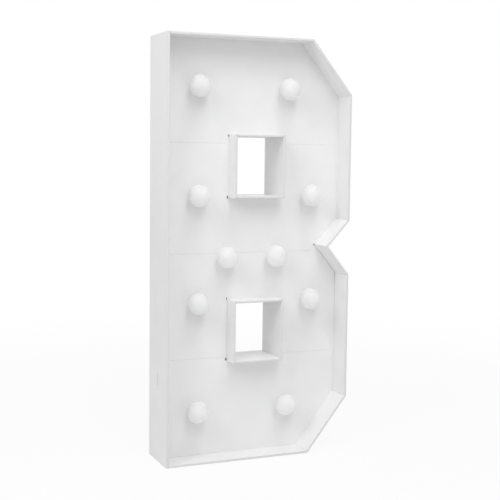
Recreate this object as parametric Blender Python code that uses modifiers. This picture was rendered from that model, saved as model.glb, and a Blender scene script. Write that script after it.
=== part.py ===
"""A marquee letter light: boards, window frames, ten globe bulbs and their battery string.

The letter stands on its bottom wall, faces -Y and has +Z up. Places on it are given as
(across, back, up): across from its left side, back from its front edge, up from its foot.
"""

import math

import bmesh
import bpy
from mathutils import Matrix, Vector

# The letter's outline
HEIGHT = 0.914
WIDTH = 0.428
DEPTH = 0.120
CORNER_IN = 0.095
UPPER_CORNER_DROP = 0.117
LOWER_CORNER_RISE = 0.1225
NOTCH_DEPTH = 0.052
NOTCH_RISE = 0.0563
NOTCH_FALL = 0.0632
NOTCH_SHARE = 0.5068

# Boards and how they meet
WALL = 0.005
FACE_BOARD = 0.005
FRAME_BOARD = 0.005
SPLICE_BOARD = 0.005
GLUE_GAP = 0.0003
EDGE_ROUND = 0.0012
EDGE_ROUND_STEPS = 2
FACE_RECESS = 0.057
NOTCH_SIDE_SLACK = 0.0011
SEAM_SHARES = (0.240, 0.4925, 0.753)
SPLICE_WIDTH = 0.040
RELIEF_RADIUS = 0.0024
RELIEF_SIDES = 12
CUT_OVERRUN = 0.004

# The tab of the lowest face board and its slot in the left wall
TAB_HEIGHT = 0.026
TAB_SHARE = 0.197
TAB_SINK = 0.0006
TAB_CLEARANCE = 0.0004

# The two windows
WINDOW_WIDTH = 0.108
WINDOW_HEIGHT = 0.127
WINDOW_ACROSS_SHARE = 0.5075
UPPER_WINDOW_SHARE = 0.6987
LOWER_WINDOW_SHARE = 0.3056
FRAME_SETBACK = 0.017

# Bulbs: where they stand, and their shape from the globe to the screw cap
BULB_SHARES = (
    (0.191, 0.883),
    (0.679, 0.883),
    (0.191, 0.630),
    (0.812, 0.630),
    (0.344, 0.484),
    (0.615, 0.484),
    (0.191, 0.376),
    (0.814, 0.376),
    (0.191, 0.117),
    (0.679, 0.117),
)
GLOBE_RADIUS = 0.02375
GLOBE_STANDOFF = 0.0265
GLOBE_TURN = math.radians(140.0)
GLOBE_STEPS = 8
BULB_SIDES = 18
NECK_RADIUS = 0.0115
NECK_CLEARANCE = 0.0007
NECK_TAPER_SHARE = 0.45
HOLE_SIDES = 20
CAP_RADIUS = 0.00695
CAP_LENGTH = 0.0200
CAP_CLEARANCE = 0.0004
CAP_TAPER = 0.0015
CONTACT_RADIUS = 0.0026
CONTACT_LENGTH = 0.0018

# Lampholders and the string cable that runs through them
HOLDER_SIDES = 16
HOLDER_RADIUS = 0.0130
HOLDER_FLANGE_RADIUS = 0.0180
HOLDER_FLANGE = 0.0028
HOLDER_WEB = 0.0020
HOLDER_BACK = 0.0028
HOLDER_CHAMFER = 0.0015
HOLDER_END_ROOM = 0.0010
CABLE_DIAMETER = 0.0035
CABLE_CLEARANCE = 0.0004
CABLE_LEAD = 0.004
CABLE_STEPS = 5
CROWN_STEPS = 9
CABLE_HANDLE_SHARE = 0.36
CABLE_CROWN = 0.050
LEAD_LOOP_WIDTH = 0.042
LEAD_LOOP_DROP = 0.045
LEAD_REACH = 0.030

# Battery case, stuck behind the lowest face board
CASE_ACROSS_SHARE = 0.435
CASE_UP_SHARE = 0.163
CASE_WALL = 0.0018
SWITCH_BAY = 0.0110
CELL_RADIUS = 0.00725
CELL_LENGTH = 0.0492
CELL_NUB_RADIUS = 0.00275
CELL_NUB = 0.0013
CELL_GAP = 0.0004
CELL_COUNT = 3
CELL_SIDES = 18
COVER_PLATE = 0.0016
COVER_TONGUE = 0.0009
COVER_CLEARANCE = 0.0003
COVER_LIP = 0.0010
COVER_RIB = 0.0010
COVER_RIB_WIDTH = 0.0016
COVER_RIB_PITCH = 0.0036
COVER_RIB_COUNT = 4
COVER_RIB_SHARE = 0.5
CONTACT_PLATE = 0.0005
CONTACT_SHARE = 0.68
SPRING_LENGTH = 0.0046
SPRING_RADIUS = 0.0034
SPRING_TIP_RADIUS = 0.0022
SPRING_WIRE = 0.0007
SPRING_TURNS = 3
SPRING_POINTS = 9
DIMPLE_RADIUS = 0.0020
DIMPLE = 0.0008
PAD_WIDTH = 0.034
PAD_HEIGHT = 0.056
PAD_THICKNESS = 0.0020

# Slide switch in the case's upper end
SLIDER_TRAVEL = 0.0040
SLIDER_KNOB_WIDTH = 0.0042
SLIDER_KNOB_DEPTH = 0.0040
SLIDER_KNOB_REACH = 0.0026
SLIDER_PLATE_WIDTH = 0.0140
SLIDER_PLATE_DEPTH = 0.0080
SLIDER_PLATE = 0.0014
SLIDER_CLEARANCE = 0.0003

# Colours as (red, green, blue), with roughness and metallic
WHITE_BOARD = ("white_board", (0.83, 0.83, 0.83), 0.42, 0.0)
RAW_BOARD = ("raw_board", (0.80, 0.80, 0.79), 0.62, 0.0)
OPAL_GLOBE = ("opal_globe", (0.86, 0.86, 0.86), 0.16, 0.0)
HOLDER_PLASTIC = ("holder_plastic", (0.78, 0.78, 0.76), 0.38, 0.0)
CABLE_SKIN = ("cable_skin", (0.80, 0.80, 0.79), 0.45, 0.0)
CASE_PLASTIC = ("case_plastic", (0.80, 0.80, 0.80), 0.40, 0.0)
SLIDER_PLASTIC = ("slider_plastic", (0.03, 0.03, 0.03), 0.45, 0.0)
CELL_SLEEVE = ("cell_sleeve", (0.10, 0.11, 0.13), 0.30, 0.0)
CONTACT_NICKEL = ("contact_nickel", (0.72, 0.70, 0.66), 0.25, 1.0)
PAD_FABRIC = ("pad_fabric", (0.74, 0.74, 0.73), 0.90, 0.0)

LETTER = "marquee_letter_light"
CUTTERS = "cutters"
UPRIGHT = (math.radians(90.0), 0.0, 0.0)


def clear_scene():
    """Remove every object that the scene starts with."""
    for obj in list(bpy.data.objects):
        bpy.data.objects.remove(obj, do_unlink=True)


def new_collection(name, hidden=False):
    """Make a collection in the scene, kept out of renders if hidden."""
    made = bpy.data.collections.new(name)
    made.hide_render = hidden
    bpy.context.scene.collection.children.link(made)
    return made


def place(across, back, up):
    """Turn a place on the letter into the world's x, y and z."""
    return Vector((across - WIDTH / 2, back - DEPTH / 2, up))


def material(look):
    """Make or find the Principled material of a look."""
    name, colour, roughness, metallic = look
    made = bpy.data.materials.get(name)
    if made is None:
        made = bpy.data.materials.new(name)
        made.use_nodes = True
        shader = made.node_tree.nodes["Principled BSDF"]
        shader.inputs["Base Color"].default_value = (*colour, 1.0)
        shader.inputs["Roughness"].default_value = roughness
        shader.inputs["Metallic"].default_value = metallic
        made.diffuse_color = (*colour, 1.0)
    return made


def add_part(name, data, look, location=(0.0, 0.0, 0.0), rotation=(0.0, 0.0, 0.0)):
    """Add an object of the letter to its collection, dressed and parented to the letter's origin."""
    obj = bpy.data.objects.new(name, data)
    obj.location = location
    obj.rotation_euler = rotation
    if not data.materials:
        data.materials.append(material(look))
    bpy.data.collections[LETTER].objects.link(obj)
    obj.parent = bpy.data.objects["letter_origin"]
    return obj


def add_cutter(name, data, location=(0.0, 0.0, 0.0), rotation=(0.0, 0.0, 0.0)):
    """Add an object that only cuts others."""
    obj = bpy.data.objects.new(name, data)
    obj.location = location
    obj.rotation_euler = rotation
    obj.hide_render = True
    obj.display_type = "WIRE"
    bpy.data.collections[CUTTERS].objects.link(obj)
    return obj


def baked(obj, weld=GLUE_GAP / 30):
    """Return a mesh of the object as its modifiers or its curve settings make it."""
    bpy.context.view_layer.update()
    graph = bpy.context.evaluated_depsgraph_get()
    mesh = bpy.data.meshes.new_from_object(obj.evaluated_get(graph))
    shape = bmesh.new()
    shape.from_mesh(mesh)
    bmesh.ops.remove_doubles(shape, verts=shape.verts, dist=weld)
    bmesh.ops.recalc_face_normals(shape, faces=shape.faces)
    shape.to_mesh(mesh)
    shape.free()
    return mesh


def smooth(mesh, angle=math.radians(35.0)):
    """Shade a round mesh smooth, with its real edges kept sharp."""
    mesh.shade_smooth()
    mesh.set_sharp_from_angle(angle=angle)


def box_mesh(name, size):
    """Make a box mesh of this size about its own centre."""
    mesh = bpy.data.meshes.new(name)
    shape = bmesh.new()
    bmesh.ops.create_cube(shape, size=1.0, matrix=Matrix.Diagonal((*size, 1.0)))
    shape.to_mesh(mesh)
    shape.free()
    return mesh


def box_between(name, low, high):
    """Return a box mesh and the world place of its centre, from two corners on the letter."""
    size = [b - a for a, b in zip(low, high)]
    middle = [(a + b) / 2 for a, b in zip(low, high)]
    return box_mesh(name, size), place(*middle)


def box_part(name, low, high, look):
    """Add a box of the letter between two corners given as (across, back, up)."""
    mesh, centre = box_between(name, low, high)
    return add_part(name, mesh, look, centre)


def box_cutter(name, low, high):
    """Add a box that cuts, between two corners given as (across, back, up)."""
    mesh, centre = box_between(name, low, high)
    return add_cutter(name, mesh, centre)


def rod_cutter(name, radius, sides, across, up, back_low, back_high):
    """Add a round cutter that runs from front to back."""
    mesh = bpy.data.meshes.new(name)
    shape = bmesh.new()
    bmesh.ops.create_cone(
        shape, cap_ends=True, segments=sides, radius1=radius, radius2=radius, depth=back_high - back_low
    )
    shape.to_mesh(mesh)
    shape.free()
    return add_cutter(name, mesh, place(across, (back_low + back_high) / 2, up), UPRIGHT)


def combine(obj, other, operation="DIFFERENCE"):
    """Cut or join an object with another through a Boolean modifier."""
    step = obj.modifiers.new(f"{operation.lower()}_{other.name}", "BOOLEAN")
    step.operation = operation
    step.object = other
    return step


def flat_board(name, outline, front, thickness, look, rounded=()):
    """Add a flat board with this outline in (across, up), its front face at the depth given.

    rounded names the outline's edges, by the index of their first point, whose long edges at
    the front and at the back of the board are rounded.
    """
    curve = bpy.data.curves.new(name, "CURVE")
    curve.dimensions = "2D"
    curve.fill_mode = "BOTH"
    curve.extrude = thickness / 2
    spline = curve.splines.new("POLY")
    spline.points.add(len(outline) - 1)
    for point, (across, up) in zip(spline.points, outline):
        point.co = (across, up, 0.0, 1.0)
    spline.use_cyclic_u = True
    flat = bpy.data.objects.new(f"{name}_outline", curve)
    bpy.data.collections[CUTTERS].objects.link(flat)
    mesh = baked(flat)
    mesh.name = name
    bpy.data.objects.remove(flat)
    bpy.data.curves.remove(curve)
    if rounded:
        round_edges(mesh, outline, rounded)
    mesh.materials.clear()
    return add_part(name, mesh, look, place(0.0, front + thickness / 2, 0.0), UPRIGHT)


def round_edges(mesh, outline, rounded):
    """Round the long edges of a board along the outline edges named, at its front and back."""
    shape = bmesh.new()
    shape.from_mesh(mesh)
    chosen = []
    for edge in shape.edges:
        first, second = (vertex.co for vertex in edge.verts)
        if abs(first.z - second.z) > GLUE_GAP:
            continue
        for index in rounded:
            ends = [Vector(outline[index]), Vector(outline[(index + 1) % len(outline)])]
            near = [min((first.xy - end).length, (second.xy - end).length) for end in ends]
            if max(near) < GLUE_GAP / 2 and (first.xy - second.xy).length > GLUE_GAP:
                chosen.append(edge)
    bmesh.ops.bevel(
        shape,
        geom=chosen,
        offset=EDGE_ROUND,
        offset_type="OFFSET",
        segments=EDGE_ROUND_STEPS,
        profile=0.5,
        affect="EDGES",
    )
    bmesh.ops.recalc_face_normals(shape, faces=shape.faces)
    shape.to_mesh(mesh)
    shape.free()


def turned_mesh(name, profile, sides):
    """Turn a profile of (radius, height) points, from top to bottom, about the local Z axis."""
    mesh = bpy.data.meshes.new(f"{name}_profile")
    line = bmesh.new()
    points = [line.verts.new((radius, 0.0, height)) for radius, height in profile]
    for first, second in zip(points, points[1:]):
        line.edges.new((first, second))
    line.to_mesh(mesh)
    line.free()
    blank = add_cutter(f"{name}_blank", mesh)
    screw = blank.modifiers.new("turn", "SCREW")
    screw.steps = sides
    screw.render_steps = sides
    screw.use_merge_vertices = True
    screw.merge_threshold = GLUE_GAP / 30
    turned = baked(blank)
    turned.name = name
    bpy.data.objects.remove(blank)
    smooth(turned)
    return turned


def outer_outline():
    """Return the letter's outline, anticlockwise from its bottom left corner."""
    shoulder = WIDTH - CORNER_IN
    notch = HEIGHT * NOTCH_SHARE
    return [
        (0.0, 0.0),
        (shoulder, 0.0),
        (WIDTH, LOWER_CORNER_RISE),
        (WIDTH, notch - NOTCH_FALL),
        (WIDTH - NOTCH_DEPTH, notch),
        (WIDTH, notch + NOTCH_RISE),
        (WIDTH, HEIGHT - UPPER_CORNER_DROP),
        (shoulder, HEIGHT),
        (0.0, HEIGHT),
    ]


WALL_NAMES = (
    "bottom_wall",
    "lower_corner_wall",
    "lower_right_wall",
    "lower_notch_wall",
    "upper_notch_wall",
    "upper_right_wall",
    "upper_corner_wall",
    "top_wall",
    "left_wall",
)
NOTCH_POINT = 4


def inset(points, distances):
    """Move each edge of an anticlockwise outline inwards by its own distance."""
    moved = []
    for index, corner in enumerate(points):
        before = Vector(corner) - Vector(points[index - 1])
        after = Vector(points[(index + 1) % len(points)]) - Vector(corner)
        first = Vector((-before.y, before.x)).normalized()
        second = Vector((-after.y, after.x)).normalized()
        near, far = distances[index - 1], distances[index]
        spread = first.x * second.y - first.y * second.x
        across = corner[0] + (near * second.y - far * first.y) / spread
        up = corner[1] + (first.x * far - second.x * near) / spread
        moved.append((across, up))
    return moved


def band(points, low, high):
    """Return the part of an outline that lies between two heights."""
    for level, keep_above in ((low, True), (high, False)):
        kept = []
        for index, corner in enumerate(points):
            following = points[(index + 1) % len(points)]
            inside = (corner[1] >= level) == keep_above
            following_inside = (following[1] >= level) == keep_above
            if inside:
                kept.append(corner)
            if inside != following_inside:
                share = (level - corner[1]) / (following[1] - corner[1])
                kept.append((corner[0] + share * (following[0] - corner[0]), level))
        points = kept
    return points


def make_walls():
    """Add the nine wall boards, mitred where they meet at a slant and butted at the left wall."""
    outer = outer_outline()
    inner = inset(outer, [WALL] * len(outer))
    butt = WALL + GLUE_GAP
    walls = {}
    for index, name in enumerate(WALL_NAMES):
        following = (index + 1) % len(outer)
        start, end = Vector(outer[index]), Vector(outer[following])
        inner_start, inner_end = Vector(inner[index]), Vector(inner[following])
        if name == "left_wall":
            shape = [tuple(start), tuple(end), (WALL, 0.0), (WALL, HEIGHT)]
        else:
            along = (end - start).normalized()
            trims = []
            for corner, inner_corner in ((start, inner_start), (end, inner_end)):
                mitre = (inner_corner - corner).normalized()
                trims.append(along * (GLUE_GAP / 2 / abs(along.cross(mitre))))
            shape = [start + trims[0], end - trims[1], inner_end - trims[1], inner_start + trims[0]]
            shape = [(max(point.x, butt), point.y) for point in shape]
        long_edges = range(4) if name == "left_wall" else (0, 2)
        walls[name] = flat_board(name, shape, 0.0, DEPTH, WHITE_BOARD, long_edges)
    return walls


def window_limits():
    """Return each window's opening as its low and high corner in (across, up)."""
    across = WIDTH * WINDOW_ACROSS_SHARE
    limits = {}
    for name, share in (("upper", UPPER_WINDOW_SHARE), ("lower", LOWER_WINDOW_SHARE)):
        up = HEIGHT * share
        low = (across - WINDOW_WIDTH / 2, up - WINDOW_HEIGHT / 2)
        high = (across + WINDOW_WIDTH / 2, up + WINDOW_HEIGHT / 2)
        limits[name] = (low, high)
    return limits


def make_window_frames():
    """Add the four boards round each window, from their front edges to the letter's back."""
    for name, (low, high) in window_limits().items():
        left, right = low[0], high[0]
        bottom, top = low[1], high[1]
        sides = {
            "left": (left - FRAME_BOARD, left, bottom - FRAME_BOARD, top + FRAME_BOARD),
            "right": (right, right + FRAME_BOARD, bottom - FRAME_BOARD, top + FRAME_BOARD),
            "top": (left + GLUE_GAP, right - GLUE_GAP, top, top + FRAME_BOARD),
            "bottom": (left + GLUE_GAP, right - GLUE_GAP, bottom - FRAME_BOARD, bottom),
        }
        for side, (near, far, foot, head) in sides.items():
            shape = [(near, foot), (far, foot), (far, head), (near, head)]
            long_edges = range(4) if side in ("left", "right") else (0, 2)
            title = f"{name}_frame_{side}"
            flat_board(title, shape, FRAME_SETBACK, DEPTH - FRAME_SETBACK, WHITE_BOARD, long_edges)


def make_window_cutters():
    """Add the cutters that let the window frames and the relief holes through the face boards."""
    margin = FRAME_BOARD + GLUE_GAP
    front = FACE_RECESS - CUT_OVERRUN
    back = FACE_RECESS + FACE_BOARD + CUT_OVERRUN
    windows, reliefs = [], []
    for name, (low, high) in window_limits().items():
        left, right = low[0] - margin, high[0] + margin
        bottom, top = low[1] - margin, high[1] + margin
        cut = box_cutter(f"cut_{name}_window", (left, front, bottom), (right, back, top))
        windows.append((cut, bottom, top))
        for across in (left, right):
            for up in (bottom, top):
                title = f"cut_relief_{len(reliefs)}"
                cut = rod_cutter(title, RELIEF_RADIUS, RELIEF_SIDES, across, up, front, back)
                reliefs.append((cut, up))
    corner = face_outline()[NOTCH_POINT]
    cut = rod_cutter("cut_notch_relief", RELIEF_RADIUS, RELIEF_SIDES, *corner, front, back)
    reliefs.append((cut, corner[1]))
    return windows, reliefs


def bulb_places():
    """Return each bulb's place in (across, up)."""
    return [(WIDTH * across, HEIGHT * up) for across, up in BULB_SHARES]


def make_bulb_hole_cutters():
    """Add a round cutter for each bulb's neck, with the place it cuts at."""
    front = FACE_RECESS - CUT_OVERRUN
    back = FACE_RECESS + FACE_BOARD + CUT_OVERRUN
    radius = NECK_RADIUS + NECK_CLEARANCE
    cutters = []
    for number, (across, up) in enumerate(bulb_places(), 1):
        title = f"cut_bulb_hole_{number:02d}"
        cutters.append((rod_cutter(title, radius, HOLE_SIDES, across, up, front, back), up))
    return cutters


def face_outline(slack=0.0):
    """Return the face's outline inside the walls, with any slack beside the notch's lower side."""
    distances = [WALL + GLUE_GAP] * len(WALL_NAMES)
    for name in ("lower_right_wall", "lower_notch_wall"):
        distances[WALL_NAMES.index(name)] += slack
    return inset(outer_outline(), distances)


def make_face_boards(left_wall):
    """Add the four face boards, their tab and its slot, and every hole in them."""
    windows, reliefs = make_window_cutters()
    holes = make_bulb_hole_cutters()
    seams = [0.0] + [HEIGHT * share for share in SEAM_SHARES] + [HEIGHT]
    names = ("face_board_bottom", "face_board_lower", "face_board_upper", "face_board_top")
    for name, low, high in zip(names, seams, seams[1:]):
        slack = NOTCH_SIDE_SLACK if name == "face_board_lower" else 0.0
        shape = band(face_outline(slack), low + GLUE_GAP / 2, high - GLUE_GAP / 2)
        board = flat_board(name, shape, FACE_RECESS, FACE_BOARD, WHITE_BOARD)
        if name == "face_board_bottom":
            add_tab(board, left_wall)
        for cut, bottom, top in windows:
            if bottom < high and top > low:
                combine(board, cut)
        for cut, up in reliefs:
            if low < up < high:
                combine(board, cut)
        for cut, up in holes:
            if low - NECK_RADIUS < up < high + NECK_RADIUS:
                combine(board, cut)


def add_tab(board, left_wall):
    """Give the lowest face board its tab, and the left wall the slot that the tab sits in."""
    middle = HEIGHT * TAB_SHARE
    low = (TAB_SINK, FACE_RECESS, middle - TAB_HEIGHT / 2)
    high = (WALL + CUT_OVERRUN, FACE_RECESS + FACE_BOARD, middle + TAB_HEIGHT / 2)
    mesh, centre = box_between("tab", low, high)
    combine(board, add_cutter("tab", mesh, centre), "UNION")
    room = TAB_CLEARANCE
    slot_low = (-CUT_OVERRUN, low[1] - room, low[2] - room)
    slot_high = (WALL + CUT_OVERRUN, high[1] + room, high[2] + room)
    combine(left_wall, box_cutter("cut_tab_slot", slot_low, slot_high))


def holder_front():
    """Return the depth of the lampholders' front faces, behind the face boards."""
    return FACE_RECESS + FACE_BOARD + GLUE_GAP


def make_splices():
    """Add the strips glued behind the seams of the face."""
    front = holder_front()
    clear = FRAME_BOARD + GLUE_GAP
    windows = window_limits()
    seams = [HEIGHT * share for share in SEAM_SHARES]
    inside = WALL + GLUE_GAP
    far_side = WIDTH - inside
    notch_side = face_outline()[NOTCH_POINT][0]
    spans = {}
    for name, level in (("lower", seams[0]), ("upper", seams[2])):
        low, high = windows[name]
        spans[f"{name}_splice_left"] = (inside, low[0] - clear, level)
        spans[f"{name}_splice_right"] = (high[0] + clear, far_side, level)
    spans["middle_splice"] = (inside, notch_side, seams[1])
    for name, (near, far, level) in spans.items():
        foot, head = level - SPLICE_WIDTH / 2, level + SPLICE_WIDTH / 2
        shape = [(near, foot), (far, foot), (far, head), (near, head)]
        strip = flat_board(name, shape, front, SPLICE_BOARD, RAW_BOARD)
        for number, (across, up) in enumerate(bulb_places(), 1):
            reach = HOLDER_FLANGE_RADIUS + GLUE_GAP
            if foot - reach < up < head + reach and near - reach < across < far + reach:
                title = f"cut_{name}_{number:02d}"
                back = front + SPLICE_BOARD + CUT_OVERRUN
                cut = rod_cutter(title, reach, HOLE_SIDES, across, up, front - CUT_OVERRUN, back)
                combine(strip, cut)


def bulb_profile():
    """Return the bulb's profile from the front of its globe to its end contact."""
    centre = GLUE_GAP + FACE_BOARD + GLOBE_STANDOFF
    profile = []
    for step in range(GLOBE_STEPS + 1):
        turn = GLOBE_TURN * step / GLOBE_STEPS
        profile.append((GLOBE_RADIUS * math.sin(turn), centre + GLOBE_RADIUS * math.cos(turn)))
    foot = profile[-1][1]
    shoulder = GLUE_GAP
    end = -CAP_LENGTH
    profile += [
        (NECK_RADIUS, shoulder + (foot - shoulder) * NECK_TAPER_SHARE),
        (NECK_RADIUS, shoulder),
        (CAP_RADIUS, shoulder),
        (CAP_RADIUS, end + CAP_TAPER),
        (CONTACT_RADIUS, end),
        (CONTACT_RADIUS, end - CONTACT_LENGTH),
        (0.0, end - CONTACT_LENGTH),
    ]
    return profile


def bore_depth():
    """Return how far the lampholder's bore runs back from its front face."""
    return CAP_LENGTH + CONTACT_LENGTH + HOLDER_END_ROOM


def channel_depth():
    """Return how far the middle of the cable channel lies behind the lampholder's front face."""
    return bore_depth() + HOLDER_WEB + CABLE_DIAMETER / 2 + CABLE_CLEARANCE


def holder_mesh():
    """Make the lampholder: a flanged cup with a channel for the cable across its back."""
    bore = CAP_RADIUS + CAP_CLEARANCE
    end = channel_depth() + CABLE_DIAMETER / 2 + CABLE_CLEARANCE + HOLDER_BACK
    profile = [
        (0.0, -bore_depth()),
        (bore, -bore_depth()),
        (bore, 0.0),
        (HOLDER_FLANGE_RADIUS, 0.0),
        (HOLDER_FLANGE_RADIUS, -HOLDER_FLANGE),
        (HOLDER_RADIUS, -HOLDER_FLANGE),
        (HOLDER_RADIUS, HOLDER_CHAMFER - end),
        (HOLDER_RADIUS - HOLDER_CHAMFER, -end),
        (0.0, -end),
    ]
    blank = add_cutter("holder_blank", turned_mesh("lampholder", profile, HOLDER_SIDES))
    channel = bpy.data.meshes.new("cut_channel")
    shape = bmesh.new()
    radius = CABLE_DIAMETER / 2 + CABLE_CLEARANCE
    bmesh.ops.create_cone(
        shape,
        cap_ends=True,
        segments=RELIEF_SIDES,
        radius1=radius,
        radius2=radius,
        depth=2 * (HOLDER_RADIUS + CUT_OVERRUN),
    )
    shape.to_mesh(channel)
    shape.free()
    cut = add_cutter("cut_channel", channel, (0.0, 0.0, -channel_depth()), UPRIGHT)
    combine(blank, cut)
    mesh = baked(blank)
    mesh.name = "lampholder"
    smooth(mesh)
    mesh.materials.clear()
    bpy.data.objects.remove(blank)
    return mesh


def make_bulbs_and_holders():
    """Add the ten bulbs and the ten lampholders, each on its bulb's axis."""
    bulb = turned_mesh("bulb", bulb_profile(), BULB_SIDES)
    holder = holder_mesh()
    for number, (across, up) in enumerate(bulb_places(), 1):
        seat = place(across, holder_front(), up)
        add_part(f"lampholder_{number:02d}", holder, HOLDER_PLASTIC, seat, UPRIGHT)
        add_part(f"bulb_{number:02d}", bulb, OPAL_GLOBE, seat, UPRIGHT)


def bend(start, leaving, end, arriving, steps):
    """Return points on a smooth bend between two places, leaving and arriving as given.

    leaving and arriving are directions times how far the bend holds to them.
    """
    corners = [start, start + leaving, end - arriving, end]
    points = []
    for step in range(1, steps + 1):
        share = step / steps
        rest = 1 - share
        weights = (rest**3, 3 * rest**2 * share, 3 * rest * share**2, share**3)
        points.append(sum((corner * weight for corner, weight in zip(corners, weights)), Vector((0, 0, 0))))
    return points


def cable_route():
    """Return the string cable's points: from the battery case, through every lampholder."""
    depth = holder_front() + channel_depth()
    spots = bulb_places()
    rising = [spots[index] for index in (8, 6, 4, 2, 0)]
    falling = [spots[index] for index in (1, 3, 5, 7, 9)]
    half = HOLDER_RADIUS + CABLE_LEAD
    gland_across, gland_back, gland_up = gland_place()
    start = Vector((gland_across + CASE_WALL + CABLE_LEAD, gland_back, gland_up))
    outside = Vector((gland_across - CABLE_LEAD, gland_back, gland_up))
    first = Vector((rising[0][0], depth, rising[0][1] - half))
    loop = Vector((first.x + LEAD_LOOP_WIDTH, depth, first.z))
    left, up, down = Vector((-1, 0, 0)), Vector((0, 0, 1)), Vector((0, 0, -1))
    points = [start, outside]
    points += bend(outside, left * LEAD_REACH, loop, down * LEAD_REACH, CABLE_STEPS)
    points += bend(loop, down * LEAD_LOOP_DROP, first, up * LEAD_LOOP_DROP, CABLE_STEPS)
    for heading, column in ((up, rising), (down, falling)):
        for number, (across, height) in enumerate(column):
            middle = Vector((across, depth, height))
            entry, leave = middle - heading * half, middle + heading * half
            span = (entry - points[-1]).length
            if heading == down and number == 0:
                points += bend(points[-1], up * CABLE_CROWN, entry, down * CABLE_CROWN, CROWN_STEPS)
            elif span > half:
                reach = heading * span * CABLE_HANDLE_SHARE
                points += bend(points[-1], reach, entry, reach, CABLE_STEPS)
            points.append(leave)
    points[-1] = points[-1] - down * (half + CABLE_LEAD)
    return points


def make_cable():
    """Add the string cable as one tube along its route."""
    route = [place(*point) for point in cable_route()]
    curve = bpy.data.curves.new("string_cable", "CURVE")
    curve.dimensions = "3D"
    curve.bevel_depth = CABLE_DIAMETER / 2
    curve.bevel_resolution = 2
    curve.use_fill_caps = True
    spline = curve.splines.new("POLY")
    spline.points.add(len(route) - 1)
    for point, spot in zip(spline.points, route):
        point.co = (*spot, 1.0)
    add_part("string_cable", curve, CABLE_SKIN)


def cell_bay():
    """Return the cell bay's width, length and depth."""
    width = CELL_COUNT * (2 * CELL_RADIUS + CELL_GAP) + CELL_GAP
    contacts = 2 * (CONTACT_PLATE + GLUE_GAP) + SPRING_LENGTH + DIMPLE + 2 * GLUE_GAP
    length = CELL_LENGTH + CELL_NUB + contacts
    return width, length, 2 * CELL_RADIUS + 2 * CELL_GAP


def case_limits():
    """Return the battery case's low and high corner on the letter."""
    width, length, depth = cell_bay()
    across, up = WIDTH * CASE_ACROSS_SHARE, HEIGHT * CASE_UP_SHARE
    half_width = width / 2 + CASE_WALL
    half_length = (length + SWITCH_BAY + 3 * CASE_WALL) / 2
    front = holder_front() + PAD_THICKNESS + GLUE_GAP
    back = front + CASE_WALL + depth + COVER_PLATE + 2 * COVER_CLEARANCE + COVER_LIP
    return (across - half_width, front, up - half_length), (across + half_width, back, up + half_length)


def gland_place():
    """Return where the cable leaves the battery case: its left wall, at the switch bay."""
    low, high = case_limits()
    _, _, depth = cell_bay()
    return low[0], low[1] + CASE_WALL + depth / 2, high[2] - CASE_WALL - SWITCH_BAY / 2


def make_case():
    """Add the battery case: a tray with a cell bay, a switch bay and a groove for its cover."""
    low, high = case_limits()
    _, length, depth = cell_bay()
    case = box_part("battery_case", low, high, CASE_PLASTIC)
    floor = low[1] + CASE_WALL
    bay_foot = low[2] + CASE_WALL
    partition = bay_foot + length
    head = high[2] - CASE_WALL
    beyond = high[1] + CUT_OVERRUN
    left, right = low[0] + CASE_WALL, high[0] - CASE_WALL
    groove_front = floor + depth
    groove_back = groove_front + COVER_PLATE + 2 * COVER_CLEARANCE
    outside = low[2] - CUT_OVERRUN
    knob_across = low[0] + (high[0] - low[0]) / 2
    knob_back = floor + depth / 2
    half_knob = SLIDER_KNOB_DEPTH / 2 + SLIDER_CLEARANCE
    slot_low = knob_across - SLIDER_KNOB_WIDTH / 2 - SLIDER_TRAVEL / 2 - SLIDER_CLEARANCE
    slot_high = knob_across + SLIDER_KNOB_WIDTH / 2 + SLIDER_TRAVEL / 2 + SLIDER_CLEARANCE
    cuts = {
        "cell_bay": ((left, floor, bay_foot), (right, beyond, partition)),
        "switch_bay": ((left, floor, partition + CASE_WALL), (right, beyond, head)),
        "cover_way": ((left, groove_front, outside), (right, beyond, head)),
        "cover_groove": (
            (left - COVER_TONGUE, groove_front, outside),
            (right + COVER_TONGUE, groove_back, head),
        ),
        "switch_slot": (
            (slot_low, knob_back - half_knob, head - CUT_OVERRUN),
            (slot_high, knob_back + half_knob, high[2] + CUT_OVERRUN),
        ),
    }
    for name, (corner, far_corner) in cuts.items():
        combine(case, box_cutter(f"cut_{name}", corner, far_corner))
    gland = bpy.data.meshes.new("cut_gland")
    shape = bmesh.new()
    radius = CABLE_DIAMETER / 2 + CABLE_CLEARANCE
    bmesh.ops.create_cone(
        shape, cap_ends=True, segments=RELIEF_SIDES, radius1=radius, radius2=radius, depth=4 * CASE_WALL
    )
    shape.to_mesh(gland)
    shape.free()
    sideways = (0.0, math.radians(90.0), 0.0)
    combine(case, add_cutter("cut_gland", gland, place(*gland_place()), sideways))
    pad_up = (low[2] + high[2]) / 2
    pad_across = (low[0] + high[0]) / 2
    box_part(
        "case_pad",
        (pad_across - PAD_WIDTH / 2, holder_front(), pad_up - PAD_HEIGHT / 2),
        (pad_across + PAD_WIDTH / 2, holder_front() + PAD_THICKNESS, pad_up + PAD_HEIGHT / 2),
        PAD_FABRIC,
    )


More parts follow.
